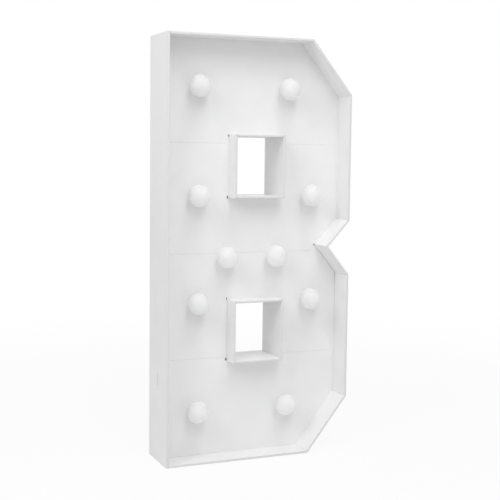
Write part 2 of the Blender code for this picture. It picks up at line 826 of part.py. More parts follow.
def make_cover():
    """Add the cover: a plate that slides down out of the case's groove, with thumb ribs."""
    low, high = case_limits()
    _, _, depth = cell_bay()
    front = low[1] + CASE_WALL + depth + COVER_CLEARANCE
    back = front + COVER_PLATE
    reach = CASE_WALL - COVER_TONGUE + COVER_CLEARANCE
    foot = low[2]
    head = high[2] - CASE_WALL - COVER_CLEARANCE
    cover = box_part(
        "battery_cover", (low[0] + reach, front, foot), (high[0] - reach, back, head), CASE_PLASTIC
    )
    middle = (low[0] + high[0]) / 2
    half_rib = (high[0] - low[0]) * COVER_RIB_SHARE / 2
    for number in range(COVER_RIB_COUNT):
        level = foot + (number + 1) * COVER_RIB_PITCH
        mesh, centre = box_between(
            f"rib_{number}",
            (middle - half_rib, back - COVER_PLATE / 2, level - COVER_RIB_WIDTH / 2),
            (middle + half_rib, back + COVER_RIB, level + COVER_RIB_WIDTH / 2),
        )
        combine(cover, add_cutter(f"rib_{number}", mesh, centre), "UNION")


def make_switch():
    """Add the switch slider, with its knob at the left end of its travel."""
    low, high = case_limits()
    _, _, depth = cell_bay()
    across = (low[0] + high[0]) / 2 - SLIDER_TRAVEL / 2
    back = low[1] + CASE_WALL + depth / 2
    inner = high[2] - CASE_WALL - SLIDER_CLEARANCE
    slider = box_part(
        "switch_slider",
        (across - SLIDER_PLATE_WIDTH / 2, back - SLIDER_PLATE_DEPTH / 2, inner - SLIDER_PLATE),
        (across + SLIDER_PLATE_WIDTH / 2, back + SLIDER_PLATE_DEPTH / 2, inner),
        SLIDER_PLASTIC,
    )
    mesh, centre = box_between(
        "knob",
        (across - SLIDER_KNOB_WIDTH / 2, back - SLIDER_KNOB_DEPTH / 2, inner - SLIDER_PLATE / 2),
        (across + SLIDER_KNOB_WIDTH / 2, back + SLIDER_KNOB_DEPTH / 2, high[2] + SLIDER_KNOB_REACH),
    )
    combine(slider, add_cutter("knob", mesh, centre), "UNION")


def cell_across(number):
    """Return how far across the letter a cell lies, by its number from the left."""
    low, _ = case_limits()
    pitch = 2 * CELL_RADIUS + CELL_GAP
    return low[0] + CASE_WALL + CELL_GAP + CELL_RADIUS + number * pitch


def make_cells():
    """Add the cells, turned end for end by turns, each against the contacts at its ends."""
    low, _ = case_limits()
    bay_foot = low[2] + CASE_WALL
    back = low[1] + CASE_WALL + CELL_GAP + CELL_RADIUS
    half = (CELL_LENGTH + CELL_NUB) / 2
    profile = [
        (0.0, half),
        (CELL_NUB_RADIUS, half),
        (CELL_NUB_RADIUS, half - CELL_NUB),
        (CELL_RADIUS, half - CELL_NUB),
        (CELL_RADIUS, -half),
        (0.0, -half),
    ]
    mesh = turned_mesh("cell", profile, CELL_SIDES)
    plate = CONTACT_PLATE + GLUE_GAP
    spring_end = plate + SPRING_LENGTH + GLUE_GAP
    nub_end = plate + DIMPLE + GLUE_GAP
    for number in range(CELL_COUNT):
        upright = number % 2 == 0
        rest = bay_foot + (spring_end if upright else nub_end) + half
        turn = (0.0, 0.0, 0.0) if upright else (math.radians(180.0), 0.0, 0.0)
        seat = place(cell_across(number), back, rest)
        add_part(f"cell_{number + 1}", mesh, CELL_SLEEVE, seat, turn)


def spring_mesh():
    """Make a contact spring about the local Z axis, from its wide end at zero upwards."""
    steps = SPRING_TURNS * SPRING_POINTS
    rise = SPRING_LENGTH - SPRING_WIRE / 2
    curve = bpy.data.curves.new("spring", "CURVE")
    curve.dimensions = "3D"
    curve.bevel_depth = SPRING_WIRE / 2
    curve.bevel_resolution = 1
    curve.use_fill_caps = True
    spline = curve.splines.new("POLY")
    spline.points.add(steps)
    for step in range(steps + 1):
        share = step / steps
        turn = 2 * math.pi * SPRING_TURNS * share
        radius = SPRING_RADIUS + (SPRING_TIP_RADIUS - SPRING_RADIUS) * share
        spline.points[step].co = (radius * math.cos(turn), radius * math.sin(turn), rise * share, 1.0)
    wire = bpy.data.objects.new("spring_wire", curve)
    bpy.data.collections[CUTTERS].objects.link(wire)
    mesh = baked(wire)
    mesh.name = "spring"
    bpy.data.objects.remove(wire)
    return mesh


def dimple_mesh():
    """Make the raised dimple that meets a cell's nub, about the local Z axis."""
    mesh = bpy.data.meshes.new("dimple")
    shape = bmesh.new()
    height = DIMPLE + CONTACT_PLATE / 2
    bmesh.ops.create_cone(
        shape, cap_ends=True, segments=RELIEF_SIDES, radius1=DIMPLE_RADIUS, radius2=DIMPLE_RADIUS, depth=height
    )
    bmesh.ops.translate(shape, verts=shape.verts, vec=(0.0, 0.0, DIMPLE - height / 2))
    shape.to_mesh(mesh)
    shape.free()
    return mesh


def make_contacts():
    """Add the four contacts: a bridge over two cells and a single one at each end of the bay."""
    low, _ = case_limits()
    _, length, _ = cell_bay()
    back = low[1] + CASE_WALL + CELL_GAP + CELL_RADIUS
    half_depth = CELL_RADIUS * CONTACT_SHARE
    spring, dimple = spring_mesh(), dimple_mesh()
    foot = low[2] + CASE_WALL + GLUE_GAP
    head = low[2] + CASE_WALL + length - GLUE_GAP
    sets = {
        "foot_bridge": (False, (1, 2)),
        "foot_contact": (False, (0,)),
        "head_bridge": (True, (0, 1)),
        "head_contact": (True, (2,)),
    }
    for name, (at_head, cells) in sets.items():
        level = head - CONTACT_PLATE if at_head else foot
        plate = box_part(
            name,
            (cell_across(cells[0]) - half_depth, back - half_depth, level),
            (cell_across(cells[-1]) + half_depth, back + half_depth, level + CONTACT_PLATE),
            CONTACT_NICKEL,
        )
        inner = level if at_head else level + CONTACT_PLATE
        for cell in cells:
            sprung = (cell % 2 == 0) != at_head
            turn = (math.radians(180.0), 0.0, 0.0) if at_head else (0.0, 0.0, 0.0)
            seat = place(cell_across(cell), back, inner)
            title = f"{name}_{'spring' if sprung else 'dimple'}_{cell + 1}"
            combine(plate, add_cutter(title, spring if sprung else dimple, seat, turn), "UNION")


def main():
    """Build the whole letter."""
    clear_scene()
    new_collection(LETTER)
    new_collection(CUTTERS, hidden=True)
    origin = bpy.data.objects.new("letter_origin", None)
    bpy.data.collections[LETTER].objects.link(origin)
    walls = make_walls()
    make_window_frames()
    make_face_boards(walls["left_wall"])
    make_splices()
    make_bulbs_and_holders()
    make_cable()
    make_case()
    make_cover()
    make_switch()
    make_cells()
    make_contacts()


main()
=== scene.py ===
"""Looks of a white marquee letter light: foam boards, opal globe bulbs and a battery string.

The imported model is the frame. Every piece here stands where its node stands, and takes its sizes
from the node's box or from the fields of its class. The letter faces -Y and has +Z up.
"""

import logging
import math
from abc import ABC, abstractmethod
from collections.abc import Callable, Iterator, Mapping, Sequence
from contextlib import contextmanager
from dataclasses import dataclass
from enum import Enum
from functools import partial
from typing import Union

import bmesh
import bpy
from mathutils import Matrix, Vector


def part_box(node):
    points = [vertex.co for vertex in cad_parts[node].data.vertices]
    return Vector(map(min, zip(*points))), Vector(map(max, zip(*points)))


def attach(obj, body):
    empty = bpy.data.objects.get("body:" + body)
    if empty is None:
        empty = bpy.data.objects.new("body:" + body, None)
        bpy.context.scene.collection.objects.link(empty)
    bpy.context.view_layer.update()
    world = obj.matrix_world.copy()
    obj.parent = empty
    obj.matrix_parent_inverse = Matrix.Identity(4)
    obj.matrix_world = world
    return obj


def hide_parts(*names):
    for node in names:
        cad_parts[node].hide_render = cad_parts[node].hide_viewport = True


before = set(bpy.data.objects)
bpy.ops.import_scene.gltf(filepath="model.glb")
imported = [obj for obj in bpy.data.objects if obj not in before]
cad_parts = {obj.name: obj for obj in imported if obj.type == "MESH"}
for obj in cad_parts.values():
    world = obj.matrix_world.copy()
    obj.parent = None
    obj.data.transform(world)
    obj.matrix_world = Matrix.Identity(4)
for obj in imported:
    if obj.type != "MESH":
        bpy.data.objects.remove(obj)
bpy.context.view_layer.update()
LOG = logging.getLogger("letter")
MM = 0.001
MERGE = 1e-5
FACING_AXIS = (math.radians(90.0), 0.0, 0.0)
WHITE = (1.0, 1.0, 1.0, 1.0)
NOISE_MEAN = 0.5
BULB_COUNT = 10
WINDOWS = ("upper", "lower")
WALLS = (
    "left",
    "top",
    "upper_corner",
    "upper_right",
    "upper_notch",
    "lower_notch",
    "lower_right",
    "lower_corner",
    "bottom",
)

Colour = tuple[float, float, float]
Place = tuple[float, float, float]
Pair = tuple[float, float]
Stations = Sequence[Pair]
Value = Union["Wire", float, tuple]
Part = Union[bmesh.types.BMVert, bmesh.types.BMEdge, bmesh.types.BMFace]
Test = Callable[[Part], bool]
Where = Callable[[Vector], bool]
Piece = bpy.types.Object
Face = bpy.types.MeshPolygon
Choice = Callable[[Face], int]
Model = Callable[[str, Vector, Vector], Piece]


class Body(Enum):
    """The bodies that pieces ride on, apart from the bulbs' own."""

    LETTER = "letter"
    COVER = "cover_body"
    SLIDER = "slider_body"


class Slot(Enum):
    """The material slots that the pieces' finishes belong to."""

    BOARD = "board"
    RAW_BOARD = "raw_board"
    GLOBE = "globe"
    HOLDER = "holder"
    CABLE = "cable"
    CASE = "case"
    SLIDER = "slider"
    CELL = "cell"
    CONTACT = "contact"
    PAD = "pad"


class Picking(Enum):
    """What edit mode selects, by a mesh's own names and in the tool setting's order."""

    POINTS = "verts"
    EDGES = "edges"
    FACES = "faces"


# Shader maths


@dataclass(frozen=True)
class Wire:
    """A node's output that takes part in sums.

    Args:
        bench: the bench whose tree the socket is in.
        socket: the output socket.
    """

    bench: "NodeBench"
    socket: bpy.types.NodeSocket

    def _sum(self, operation: str, *values: Value) -> "Wire":
        """Add one Math node over the values and return its output."""
        return self.bench.node("ShaderNodeMath", {"operation": operation}, dict(enumerate(values)))

    def __add__(self, other: Value) -> "Wire":
        """Return this plus the other."""
        return self._sum("ADD", self, other)

    __radd__ = __add__

    def __sub__(self, other: Value) -> "Wire":
        """Return this less the other."""
        return self._sum("SUBTRACT", self, other)

    def __rsub__(self, other: Value) -> "Wire":
        """Return the other less this."""
        return self._sum("SUBTRACT", other, self)

    def __mul__(self, other: Value) -> "Wire":
        """Return this times the other."""
        return self._sum("MULTIPLY", self, other)

    __rmul__ = __mul__

    def most(self, other: Value) -> "Wire":
        """Return the larger of this and the other."""
        return self._sum("MAXIMUM", self, other)

    def rising(self, low: float, high: float) -> "Wire":
        """Return a smooth step over this.

        Args:
            low: where the step is still 0.
            high: where the step has come to 1.

        Returns:
            The step, from 0 to 1. It falls where low is above high.
        """
        if low > high:
            return 1 - self.rising(high, low)
        settings = {"interpolation_type": "SMOOTHSTEP"}
        values = {0: self, 1: low, 2: high, 3: 0.0, 4: 1.0}
        return self.bench.node("ShaderNodeMapRange", settings, values)


class NodeBench:
    """Adds nodes to a tree."""

    def __init__(self, tree: bpy.types.NodeTree) -> None:
        """Take the tree that nodes go into."""
        self.tree = tree

    def feed(self, socket: bpy.types.NodeSocket, value: Value) -> None:
        """Link a wire to a socket, or set the socket's own value."""
        if isinstance(value, Wire):
            self.tree.links.new(value.socket, socket)
        else:
            socket.default_value = value

    def node(
        self,
        kind: str,
        settings: Mapping[str, object] | None = None,
        values: Mapping[int | str, Value] | None = None,
        output: int | str = 0,
    ) -> Wire:
        """Add a node.

        Args:
            kind: the node's type.
            settings: its settings, set first.
            values: the value or the link of each input named.
            output: which output is returned.

        Returns:
            The output as a wire.
        """
        made = self.tree.nodes.new(kind)
        for name, value in (settings or {}).items():
            setattr(made, name, value)
        for key, value in (values or {}).items():
            self.feed(made.inputs[key], value)
        return Wire(self, made.outputs[output])


class SurfaceBench(NodeBench):
    """Builds one material, with the textures that its finishes share."""

    def __init__(self, name: str) -> None:
        """Start a material of this name."""
        self.material = bpy.data.materials.new(name)
        self.material.use_nodes = True
        super().__init__(self.material.node_tree)
        self.shader = self.tree.nodes["Principled BSDF"]
        self.place = self.node("ShaderNodeTexCoord", output="Object")

    def noise(self, scale: float, detail: float = 2.0, stretch: Place | None = None) -> Wire:
        """Return cloudy noise from 0 to 1.

        Args:
            scale: clouds to the metre.
            detail: how many finer layers it has.
            stretch: how far the place is stretched along each axis first.

        Returns:
            The noise.
        """
        place = self.place
        if stretch:
            values = {"Vector": place, "Scale": stretch}
            place = self.node("ShaderNodeMapping", None, values)
        return self.node("ShaderNodeTexNoise", None, {"Vector": place, "Scale": scale, "Detail": detail})

    def cells(self, scale: float) -> Wire:
        """Return the distance to the nearest of scattered points, this many to the metre."""
        return self.node("ShaderNodeTexVoronoi", None, {"Vector": self.place, "Scale": scale})

    def axis(self, name: str) -> Wire:
        """Return one coordinate of the place, in metres."""
        return self.node("ShaderNodeSeparateXYZ", None, {"Vector": self.place}, name)

    def mixed(self, share: Value, first: Colour | Wire, second: Colour | Wire) -> Wire:
        """Return a colour between two, at this share of the second."""
        ends = [value if isinstance(value, Wire) else (*value, 1.0) for value in (first, second)]
        return self.node("ShaderNodeMix", {"data_type": "RGBA"}, {0: share, 6: ends[0], 7: ends[1]}, 2)

    def bumped(self, height: Wire, depth: float, normal: Wire | None = None) -> Wire:
        """Return the normal of a surface raised by a height times a depth in metres."""
        values = {"Height": height, "Distance": depth}
        if normal is not None:
            values["Normal"] = normal
        return self.node("ShaderNodeBump", None, values)

    def dress(self, **sockets: Value) -> None:
        """Feed the shader's sockets, named in lower case with _ for a space."""
        known = {socket.name.lower().replace(" ", "_"): socket for socket in self.shader.inputs}
        for name, value in sockets.items():
            self.feed(known[name], value)


# Finishes


@dataclass(frozen=True)
class Finish(ABC):
    """How a surface looks.

    Args:
        name: the material's name.
        colour: its main colour.
        roughness: its usual roughness.
    """

    name: str
    colour: Colour
    roughness: float

    @abstractmethod
    def dress(self, bench: SurfaceBench) -> None:
        """Wire the finish into the bench's shader."""

    def material(self) -> bpy.types.Material:
        """Return the finish's material, made the first time it is asked for."""
        found = bpy.data.materials.get(self.name)
        if found is None:
            bench = SurfaceBench(self.name)
            self.dress(bench)
            found = bench.material
        return found

    def shade(self, amount: float) -> Colour:
        """Return the colour, darker or lighter by this amount."""
        red, green, blue = self.colour
        return (red * amount, green * amount, blue * amount)


@dataclass(frozen=True)
class SheetFinish(Finish):
    """The calendered skin of foam board: satin, faintly pebbled and never quite flat.

    Args:
        pebble: pebbles to the metre.
        pebble_depth: their depth.
        wave: slow waves to the metre.
        wave_depth: the waves' depth.
        clouding: how far the colour drifts.
        speck: specks to the metre, at most.
        speck_patch: patches of specks to the metre, at most.
        speck_shade: how far a speck darkens the skin.
    """

    pebble: float = 620.0
    pebble_depth: float = 0.000018
    wave: float = 7.0
    wave_depth: float = 0.0007
    clouding: float = 0.018
    speck: float = 150.0
    speck_patch: float = 31.0
    speck_shade: float = 0.10

    def dress(self, bench: SurfaceBench) -> None:
        """Wire the sheet's skin."""
        pebbles = bench.noise(self.pebble, 3.0)
        slow = bench.noise(self.wave, 1.0)
        drift = bench.noise(2.4 * self.wave, 4.0)
        patches = bench.noise(self.speck_patch).rising(0.60, 0.74)
        specks = bench.cells(self.speck).rising(0.10, 0.04) * patches
        darker, lighter = self.shade(1.0 - self.clouding), self.shade(1.0 + self.clouding / 3)
        base = bench.mixed(drift.rising(0.3, 0.7), darker, lighter)
        bench.dress(
            base_color=bench.mixed(specks * self.speck_shade, base, self.shade(0.80)),
            roughness=self.roughness + (pebbles - NOISE_MEAN) * 0.10 + (drift - NOISE_MEAN) * 0.06,
            normal=bench.bumped(pebbles, self.pebble_depth, bench.bumped(slow, self.wave_depth)),
        )


@dataclass(frozen=True)
class CutEdgeFinish(Finish):
    """The sawn and sanded edge of foam board: closed cells cut open, their pits painted darker as shade,
    and fine saw lines.

    Args:
        cell: foam cells to the metre.
        cell_depth: their depth.
        line: saw lines to the metre.
        line_share: how much of the depth is the saw lines' own.
    """

    cell: float = 1500.0
    cell_depth: float = 0.00006
    line: float = 900.0
    line_share: float = 0.4

    def dress(self, bench: SurfaceBench) -> None:
        """Wire the edge's foam."""
        foam = bench.cells(self.cell)
        soot = bench.noise(60.0, 4.0).rising(0.55, 0.80)
        lines = bench.noise(self.line, 1.0, (1.0, 1.0, 0.04))
        height = foam * (1 - self.line_share) + lines * self.line_share
        # The cut-open cells' pits are painted darker: painted shade in the pits, matching the bump.
        base = bench.mixed(foam.rising(0.55, 0.05), self.colour, self.shade(0.93))
        bench.dress(
            base_color=bench.mixed(soot * 0.4, base, self.shade(0.95)),
            roughness=self.roughness,
            normal=bench.bumped(height, self.cell_depth),
        )


@dataclass(frozen=True)
class OpalFinish(Finish):
    """The satin opal skin of a globe bulb, which light passes through.

    Args:
        ripple: blow-moulding ripples to the metre.
        ripple_depth: their depth.
        shine: how strongly the skin mirrors.
        scatter: how far light spreads under the skin, in metres.
    """

    ripple: float = 55.0
    ripple_depth: float = 0.00006
    shine: float = 0.22
    scatter: float = 0.21

    def dress(self, bench: SurfaceBench) -> None:
        """Wire the globe's skin."""
        ripples = bench.noise(self.ripple, 1.0)
        haze = bench.noise(420.0, 3.0)
        milk = bench.noise(38.0).rising(0.35, 0.70)
        bench.dress(
            base_color=bench.mixed(milk, self.colour, self.shade(0.985)),
            roughness=self.roughness + (haze - NOISE_MEAN) * 0.05,
            normal=bench.bumped(ripples, self.ripple_depth),
            specular_ior_level=self.shine,
            subsurface_weight=1.0,
            subsurface_radius=(1.0, 1.0, 1.0),
            subsurface_scale=self.scatter,
        )


@dataclass(frozen=True)
class MouldedFinish(Finish):
    """Moulded plastic with a fine spark-eroded grain.

    Args:
        grain: grains to the metre.
        grain_depth: their depth.
        wear: how far rubbed patches shine.
    """

    grain: float = 2600.0
    grain_depth: float = 0.00002
    wear: float = 0.10

    def dress(self, bench: SurfaceBench) -> None:
        """Wire the moulded plastic."""
        grain = bench.noise(self.grain)
        rubbed = bench.noise(95.0, 3.0).rising(0.52, 0.72)
        flow = bench.noise(24.0, stretch=(1.0, 1.0, 0.3)).rising(0.35, 0.7)
        bench.dress(
            base_color=bench.mixed(flow, self.shade(0.97), self.colour),
            roughness=self.roughness - rubbed * self.wear + (grain - NOISE_MEAN) * 0.12,
            normal=bench.bumped(grain, self.grain_depth),
        )


@dataclass(frozen=True)
class SheathFinish(Finish):
    """The soft sheath of the string cable, with rings of faint drawing marks.

    Args:
        mark: marks to the metre.
        mark_depth: their depth.
    """

    mark: float = 1400.0
    mark_depth: float = 0.00003

    def dress(self, bench: SurfaceBench) -> None:
        """Wire the sheath."""
        marks = bench.noise(self.mark, 1.0, (0.3, 0.3, 1.0))
        dust = bench.noise(160.0, 4.0)
        bench.dress(
            base_color=bench.mixed(dust.rising(0.5, 0.8), self.colour, self.shade(0.93)),
            roughness=self.roughness + (dust - NOISE_MEAN) * 0.18,
            normal=bench.bumped(marks, self.mark_depth),
        )


@dataclass(frozen=True)
class PlatedFinish(Finish):
    """Nickel plating over pressed metal, with drawing lines and tarnish in patches.

    Args:
        line: drawing lines to the metre.
        line_depth: their depth.
    """

    line: float = 2200.0
    line_depth: float = 0.00001

    def dress(self, bench: SurfaceBench) -> None:
        """Wire the plating."""
        lines = bench.noise(self.line, 1.0, (1.0, 0.06, 1.0))
        tarnish = bench.noise(210.0, 4.0).rising(0.50, 0.76)
        bench.dress(
            base_color=bench.mixed(tarnish, self.colour, self.shade(0.82)),
            roughness=self.roughness + tarnish * 0.16 + (lines - NOISE_MEAN) * 0.12,
            metallic=1.0,
            normal=bench.bumped(lines, self.line_depth),
        )


@dataclass(frozen=True)
class SleeveFinish(Finish):
    """The printed film round a cell: a dark field and a pale band near one end.

    Args:
        band: the heights above the ground of the band's lower and upper edge.
        band_colour: the band's colour.
        blur: over what height its edges fade.
        crease_depth: the depth of the film's creases.
    """

    band: Pair = (0.0, 0.0)
    band_colour: Colour = (0.55, 0.56, 0.58)
    blur: float = 0.1 * MM
    crease_depth: float = 0.00003

    def dress(self, bench: SurfaceBench) -> None:
        """Wire the film."""
        up = bench.axis("Z")
        low, high = self.band
        band = up.rising(low, low + self.blur) * up.rising(high, high - self.blur)
        creases = bench.noise(300.0, stretch=(1.0, 1.0, 0.2))
        bench.dress(
            base_color=bench.mixed(band, self.colour, self.band_colour),
            roughness=self.roughness + creases.rising(0.5, 0.7) * 0.10,
            coat_weight=0.3,
            coat_roughness=0.1,
            normal=bench.bumped(creases, self.crease_depth),
        )


@dataclass(frozen=True)
class LoopFinish(Finish):
    """Hook-and-loop pad: a felt of small loops.

    Args:
        loop: loops to the metre.
        tuft: tufts to the metre.
        pile: the felt's depth.
    """

    loop: float = 1900.0
    tuft: float = 700.0
    pile: float = 0.0004

    def dress(self, bench: SurfaceBench) -> None:
        """Wire the felt."""
        loops = bench.cells(self.loop)
        tufts = bench.noise(self.tuft, 4.0)
        bench.dress(
            base_color=bench.mixed(loops.rising(0.1, 0.6), self.colour, self.shade(0.62)),
            roughness=self.roughness,
            sheen_weight=0.4,
            normal=bench.bumped(loops * 0.5 + tufts * 0.5, self.pile),
        )


SHEET = SheetFinish("board_skin", (0.86, 0.86, 0.862), 0.40)
RAW_SHEET = SheetFinish("raw_board_skin", (0.82, 0.82, 0.81), 0.55, pebble_depth=0.00003)
# The cut edges are darker than the skin: partly the cut foam's duller tone, partly painted shade for the
# dark lines along the boards' softened edges.
CUT_EDGE = CutEdgeFinish("board_cut_edge", (0.74, 0.74, 0.74), 0.60)
# The sides of the open relief holes are painted near-black: painted shade for the dark inside of the holes.
PAINTED_HOLE_SHADE = CutEdgeFinish("relief_edge", (0.30, 0.29, 0.28), 0.70)
OPAL = OpalFinish("opal_globe", (0.90, 0.90, 0.90), 0.58)
COLLAR = MouldedFinish("bulb_collar", (0.80, 0.80, 0.79), 0.36)
HOLDER = MouldedFinish("holder_plastic", (0.76, 0.76, 0.74), 0.42)
SHEATH = SheathFinish("cable_sheath", (0.78, 0.78, 0.77), 0.45)
CASE = MouldedFinish("case_plastic", (0.79, 0.79, 0.79), 0.44)
DARK = MouldedFinish("slider_plastic", (0.035, 0.035, 0.037), 0.46)
PLATED = PlatedFinish("nickel_plate", (0.70, 0.68, 0.64), 0.26)
INSULATOR = MouldedFinish("cap_insulator", (0.03, 0.03, 0.035), 0.20)
LOOPS = LoopFinish("loop_pad", (0.76, 0.76, 0.75), 0.92)


# Modelling


class Workshop:
    """Operators used as by hand, on one object at a time."""

    @staticmethod
    def pick(obj: Piece) -> None:
        """Select this object alone and make it the active one."""
        bpy.ops.object.select_all(action="DESELECT")
        obj.select_set(True)
        bpy.context.view_layer.objects.active = obj

    @staticmethod
    def choose(obj: Piece, picking: Picking, test: Test) -> None:
        """Select the points, edges or faces that pass a test, and no others, in edit mode."""
        shape = bmesh.from_edit_mesh(obj.data)
        parts = getattr(shape, picking.value)
        for part in parts:
            part.select_set(False)
        for part in parts:
            if test(part):
                part.select_set(True)
        shape.select_flush_mode()
        bmesh.update_edit_mesh(obj.data)

    @staticmethod
    @contextmanager
    def editing(obj: Piece, picking: Picking = Picking.FACES, test: Test | None = None) -> Iterator[None]:
        """Hold an object in edit mode.

        Args:
            obj: the object.
            picking: what is selected there.
            test: what passes it is selected at first, or everything without one.

        Returns:
            A context that ends in object mode.
        """
        Workshop.pick(obj)
        bpy.context.tool_settings.mesh_select_mode = [kind is picking for kind in Picking]
        bpy.ops.object.mode_set(mode="EDIT")
        bpy.ops.mesh.select_all(action="DESELECT" if test else "SELECT")
        if test:
            Workshop.choose(obj, picking, test)
        yield
        bpy.ops.object.mode_set(mode="OBJECT")

    @staticmethod
    def place(name: str, data: bpy.types.ID) -> Piece:
        """Put data into the scene as an object of this name."""
        made = bpy.data.objects.new(name, data)
        bpy.context.scene.collection.objects.link(made)
        return made

    @staticmethod
    def take(name: str) -> Piece:
        """Name the object that an operator has just added, and put its place into its mesh."""
        made = bpy.context.object
        made.name = name
        Workshop.pick(made)
        bpy.ops.object.transform_apply(location=True, rotation=True, scale=True)
        return made

    @staticmethod
    def modify(obj: Piece, kind: str, **settings: object) -> None:
        """Add a modifier of a kind to an object, with its settings."""
        step = obj.modifiers.new(kind.lower(), kind)
        for name, value in settings.items():
            setattr(step, name, value)

    @staticmethod
    def apply_modifiers(obj: Piece) -> None:
        """Apply an object's modifiers in order."""
        Workshop.pick(obj)
        for step in list(obj.modifiers):
            bpy.ops.object.modifier_apply(modifier=step.name)

    @staticmethod
    def bisect(obj: Piece, level: float) -> None:
        """Cut new edges round an object at a height."""
        with Workshop.editing(obj):
            bpy.ops.mesh.bisect(plane_co=(0.0, 0.0, level), plane_no=(0.0, 0.0, 1.0))

    @staticmethod
    def shift(obj: Piece, way: Place, test: Where) -> None:
        """Move the points whose places pass a test."""
        with Workshop.editing(obj, Picking.POINTS, lambda point: test(point.co)):
            bpy.ops.transform.translate(value=way)

    @staticmethod
    def scale(obj: Piece, share: float, centre: Place, test: Where) -> None:
        """Scale the points whose places pass a test, across and up from a centre."""
        with Workshop.editing(obj, Picking.POINTS, lambda point: test(point.co)):
            bpy.ops.transform.resize(value=(share, 1.0, share), center_override=centre)

    @staticmethod
    def draw_out(axis: Vector, stations: Stations) -> None:
        """Extrude the selected round face from station to station, in edit mode.

        Args:
            axis: a point on the axis, which runs along Y.
            stations: (depth, radius) pairs. The first one is where the face is already.
        """
        for (depth, radius), (next_depth, next_radius) in zip(stations, stations[1:]):
            step = {"value": (0.0, next_depth - depth, 0.0)}
            bpy.ops.mesh.extrude_region_move(TRANSFORM_OT_translate=step)
            ratio = next_radius / radius
            centre = (axis.x, next_depth, axis.z)
            bpy.ops.transform.resize(value=(ratio, 1.0, ratio), center_override=centre)

    @staticmethod
    def turned(name: str, axis: Vector, stations: Stations, sides: int) -> Piece:
        """Model a closed round form along Y.

        Args:
            name: the object's name.
            axis: a point on its axis.
            stations: (depth, radius) pairs from its first cap to its last.
            sides: how many sides it has.

        Returns:
            The object, with its place in its mesh.
        """
        depth, radius = stations[0]
        place = (axis.x, depth, axis.z)
        bpy.ops.mesh.primitive_circle_add(
            vertices=sides, radius=radius, fill_type="NGON", location=place, rotation=FACING_AXIS
        )
        made = Workshop.take(name)
        with Workshop.editing(made):
            Workshop.draw_out(axis, stations)
            bpy.ops.mesh.select_all(action="SELECT")
            bpy.ops.mesh.normals_make_consistent(inside=False)
        return made

    @staticmethod
    def soften(obj: Piece, width: float = 0.0, sharp: float = 50.0) -> None:
        """Round an object's edges and shade it smooth up to an angle, its flats kept flat.

        Args:
            obj: the object.
            width: how far the rounding reaches, or 0 for none.
            sharp: the angle in degrees from which an edge shows.
        """
        Workshop.pick(obj)
        if width:
            least = math.radians(35.0)
            Workshop.modify(obj, "BEVEL", width=width, segments=2, limit_method="ANGLE", angle_limit=least)
        bpy.ops.object.shade_smooth_by_angle(angle=math.radians(sharp))
        Workshop.modify(obj, "WEIGHTED_NORMAL", keep_sharp=True)
        Workshop.apply_modifiers(obj)

    @staticmethod
    def copy_node(node: str, name: str, flat: bool = True) -> Piece:
        """Copy a node's mesh into a new object, with its loose triangles joined into faces.

        Args:
            node: the CAD node.
            name: the new object's name.
            flat: whether whole flats are joined, or only pairs of triangles.

        Returns:
            The new object.
        """
        made = Workshop.place(name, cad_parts[node].data.copy())
        level, bend, skew = (math.radians(angle) for angle in (0.4, 40.0, 60.0))
        with Workshop.editing(made):
            bpy.ops.mesh.remove_doubles(threshold=MERGE)
            if flat:
                bpy.ops.mesh.dissolve_limited(angle_limit=level)
            else:
                bpy.ops.mesh.tris_convert_to_quads(face_threshold=bend, shape_threshold=skew)
        return made

    @staticmethod
    def copies(node: str, name: str, model: Model) -> Iterator[tuple[str, Piece]]:
        """Model the first of ten pieces, and copy it, with its own mesh, to the others' places.

        Args:
            node: the nodes' name without its number.
            name: the pieces' name without its number.
            model: what models a piece from its name and its node's box.

        Returns:
            Each node with its piece, in order.
        """
        low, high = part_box(f"{node}_01")
        first = model(f"{name}_01", low, high)
        yield f"{node}_01", first
        for number in range(2, BULB_COUNT + 1):
            here = f"{node}_{number:02d}"
            made = Workshop.place(f"{name}_{number:02d}", first.data.copy())
            made.data.transform(Matrix.Translation(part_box(here)[0] - low))
            yield here, made


def axis_of(low: Vector, high: Vector) -> Vector:
    """Return the middle of a box across and up, through which a round piece's axis runs."""
    return Vector(((low.x + high.x) / 2, 0.0, (low.z + high.z) / 2))


def dress_faces(obj: Piece, finishes: Sequence[Finish], choice: Choice | None = None) -> None:
    """Give an object its finishes, face by face.

    Args:
        obj: the object.
        finishes: the finishes.
        choice: the finish's number for a face, or nothing where every face has the first.
    """
    obj.data.materials.clear()
    for finish in finishes:
        obj.data.materials.append(finish.material())
    for face in obj.data.polygons:
        face.material_index = choice(face) if choice else 0


def seat(obj: Piece, body: Body | str, slot: Slot, *nodes: str) -> None:
    """Let a piece ride on its body, hide the nodes that it replaces, and log its name.

    Args:
        obj: the piece.
        body: the body, or its name.
        slot: the slot that its finish comes from; not used.
        nodes: the nodes that it replaces.
    """
    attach(obj, body.value if isinstance(body, Body) else body)
    if nodes:
        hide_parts(*nodes)
    LOG.info("piece %s", obj.name)


# The letter's own pieces


@dataclass(frozen=True)
class Relief:
    """A relief hole at a corner of a face board.

    Args:
        across: the corner's place across.
        corner: the corner's height.
        shift: how far up the hole's middle lies from the corner.
        worn: how much wider the hole is at the front.
        shut: whether the hole is filled.
    """

    across: float
    corner: float
    shift: float = 0.0
    worn: float = 1.0
    shut: bool = False

    def reach(self, place: Vector, shifted: bool = True) -> float:
        """Return how far a place is from the hole's axis, or from the corner's."""
        return math.hypot(place.x - self.across, place.z - self.corner - (self.shift if shifted else 0.0))


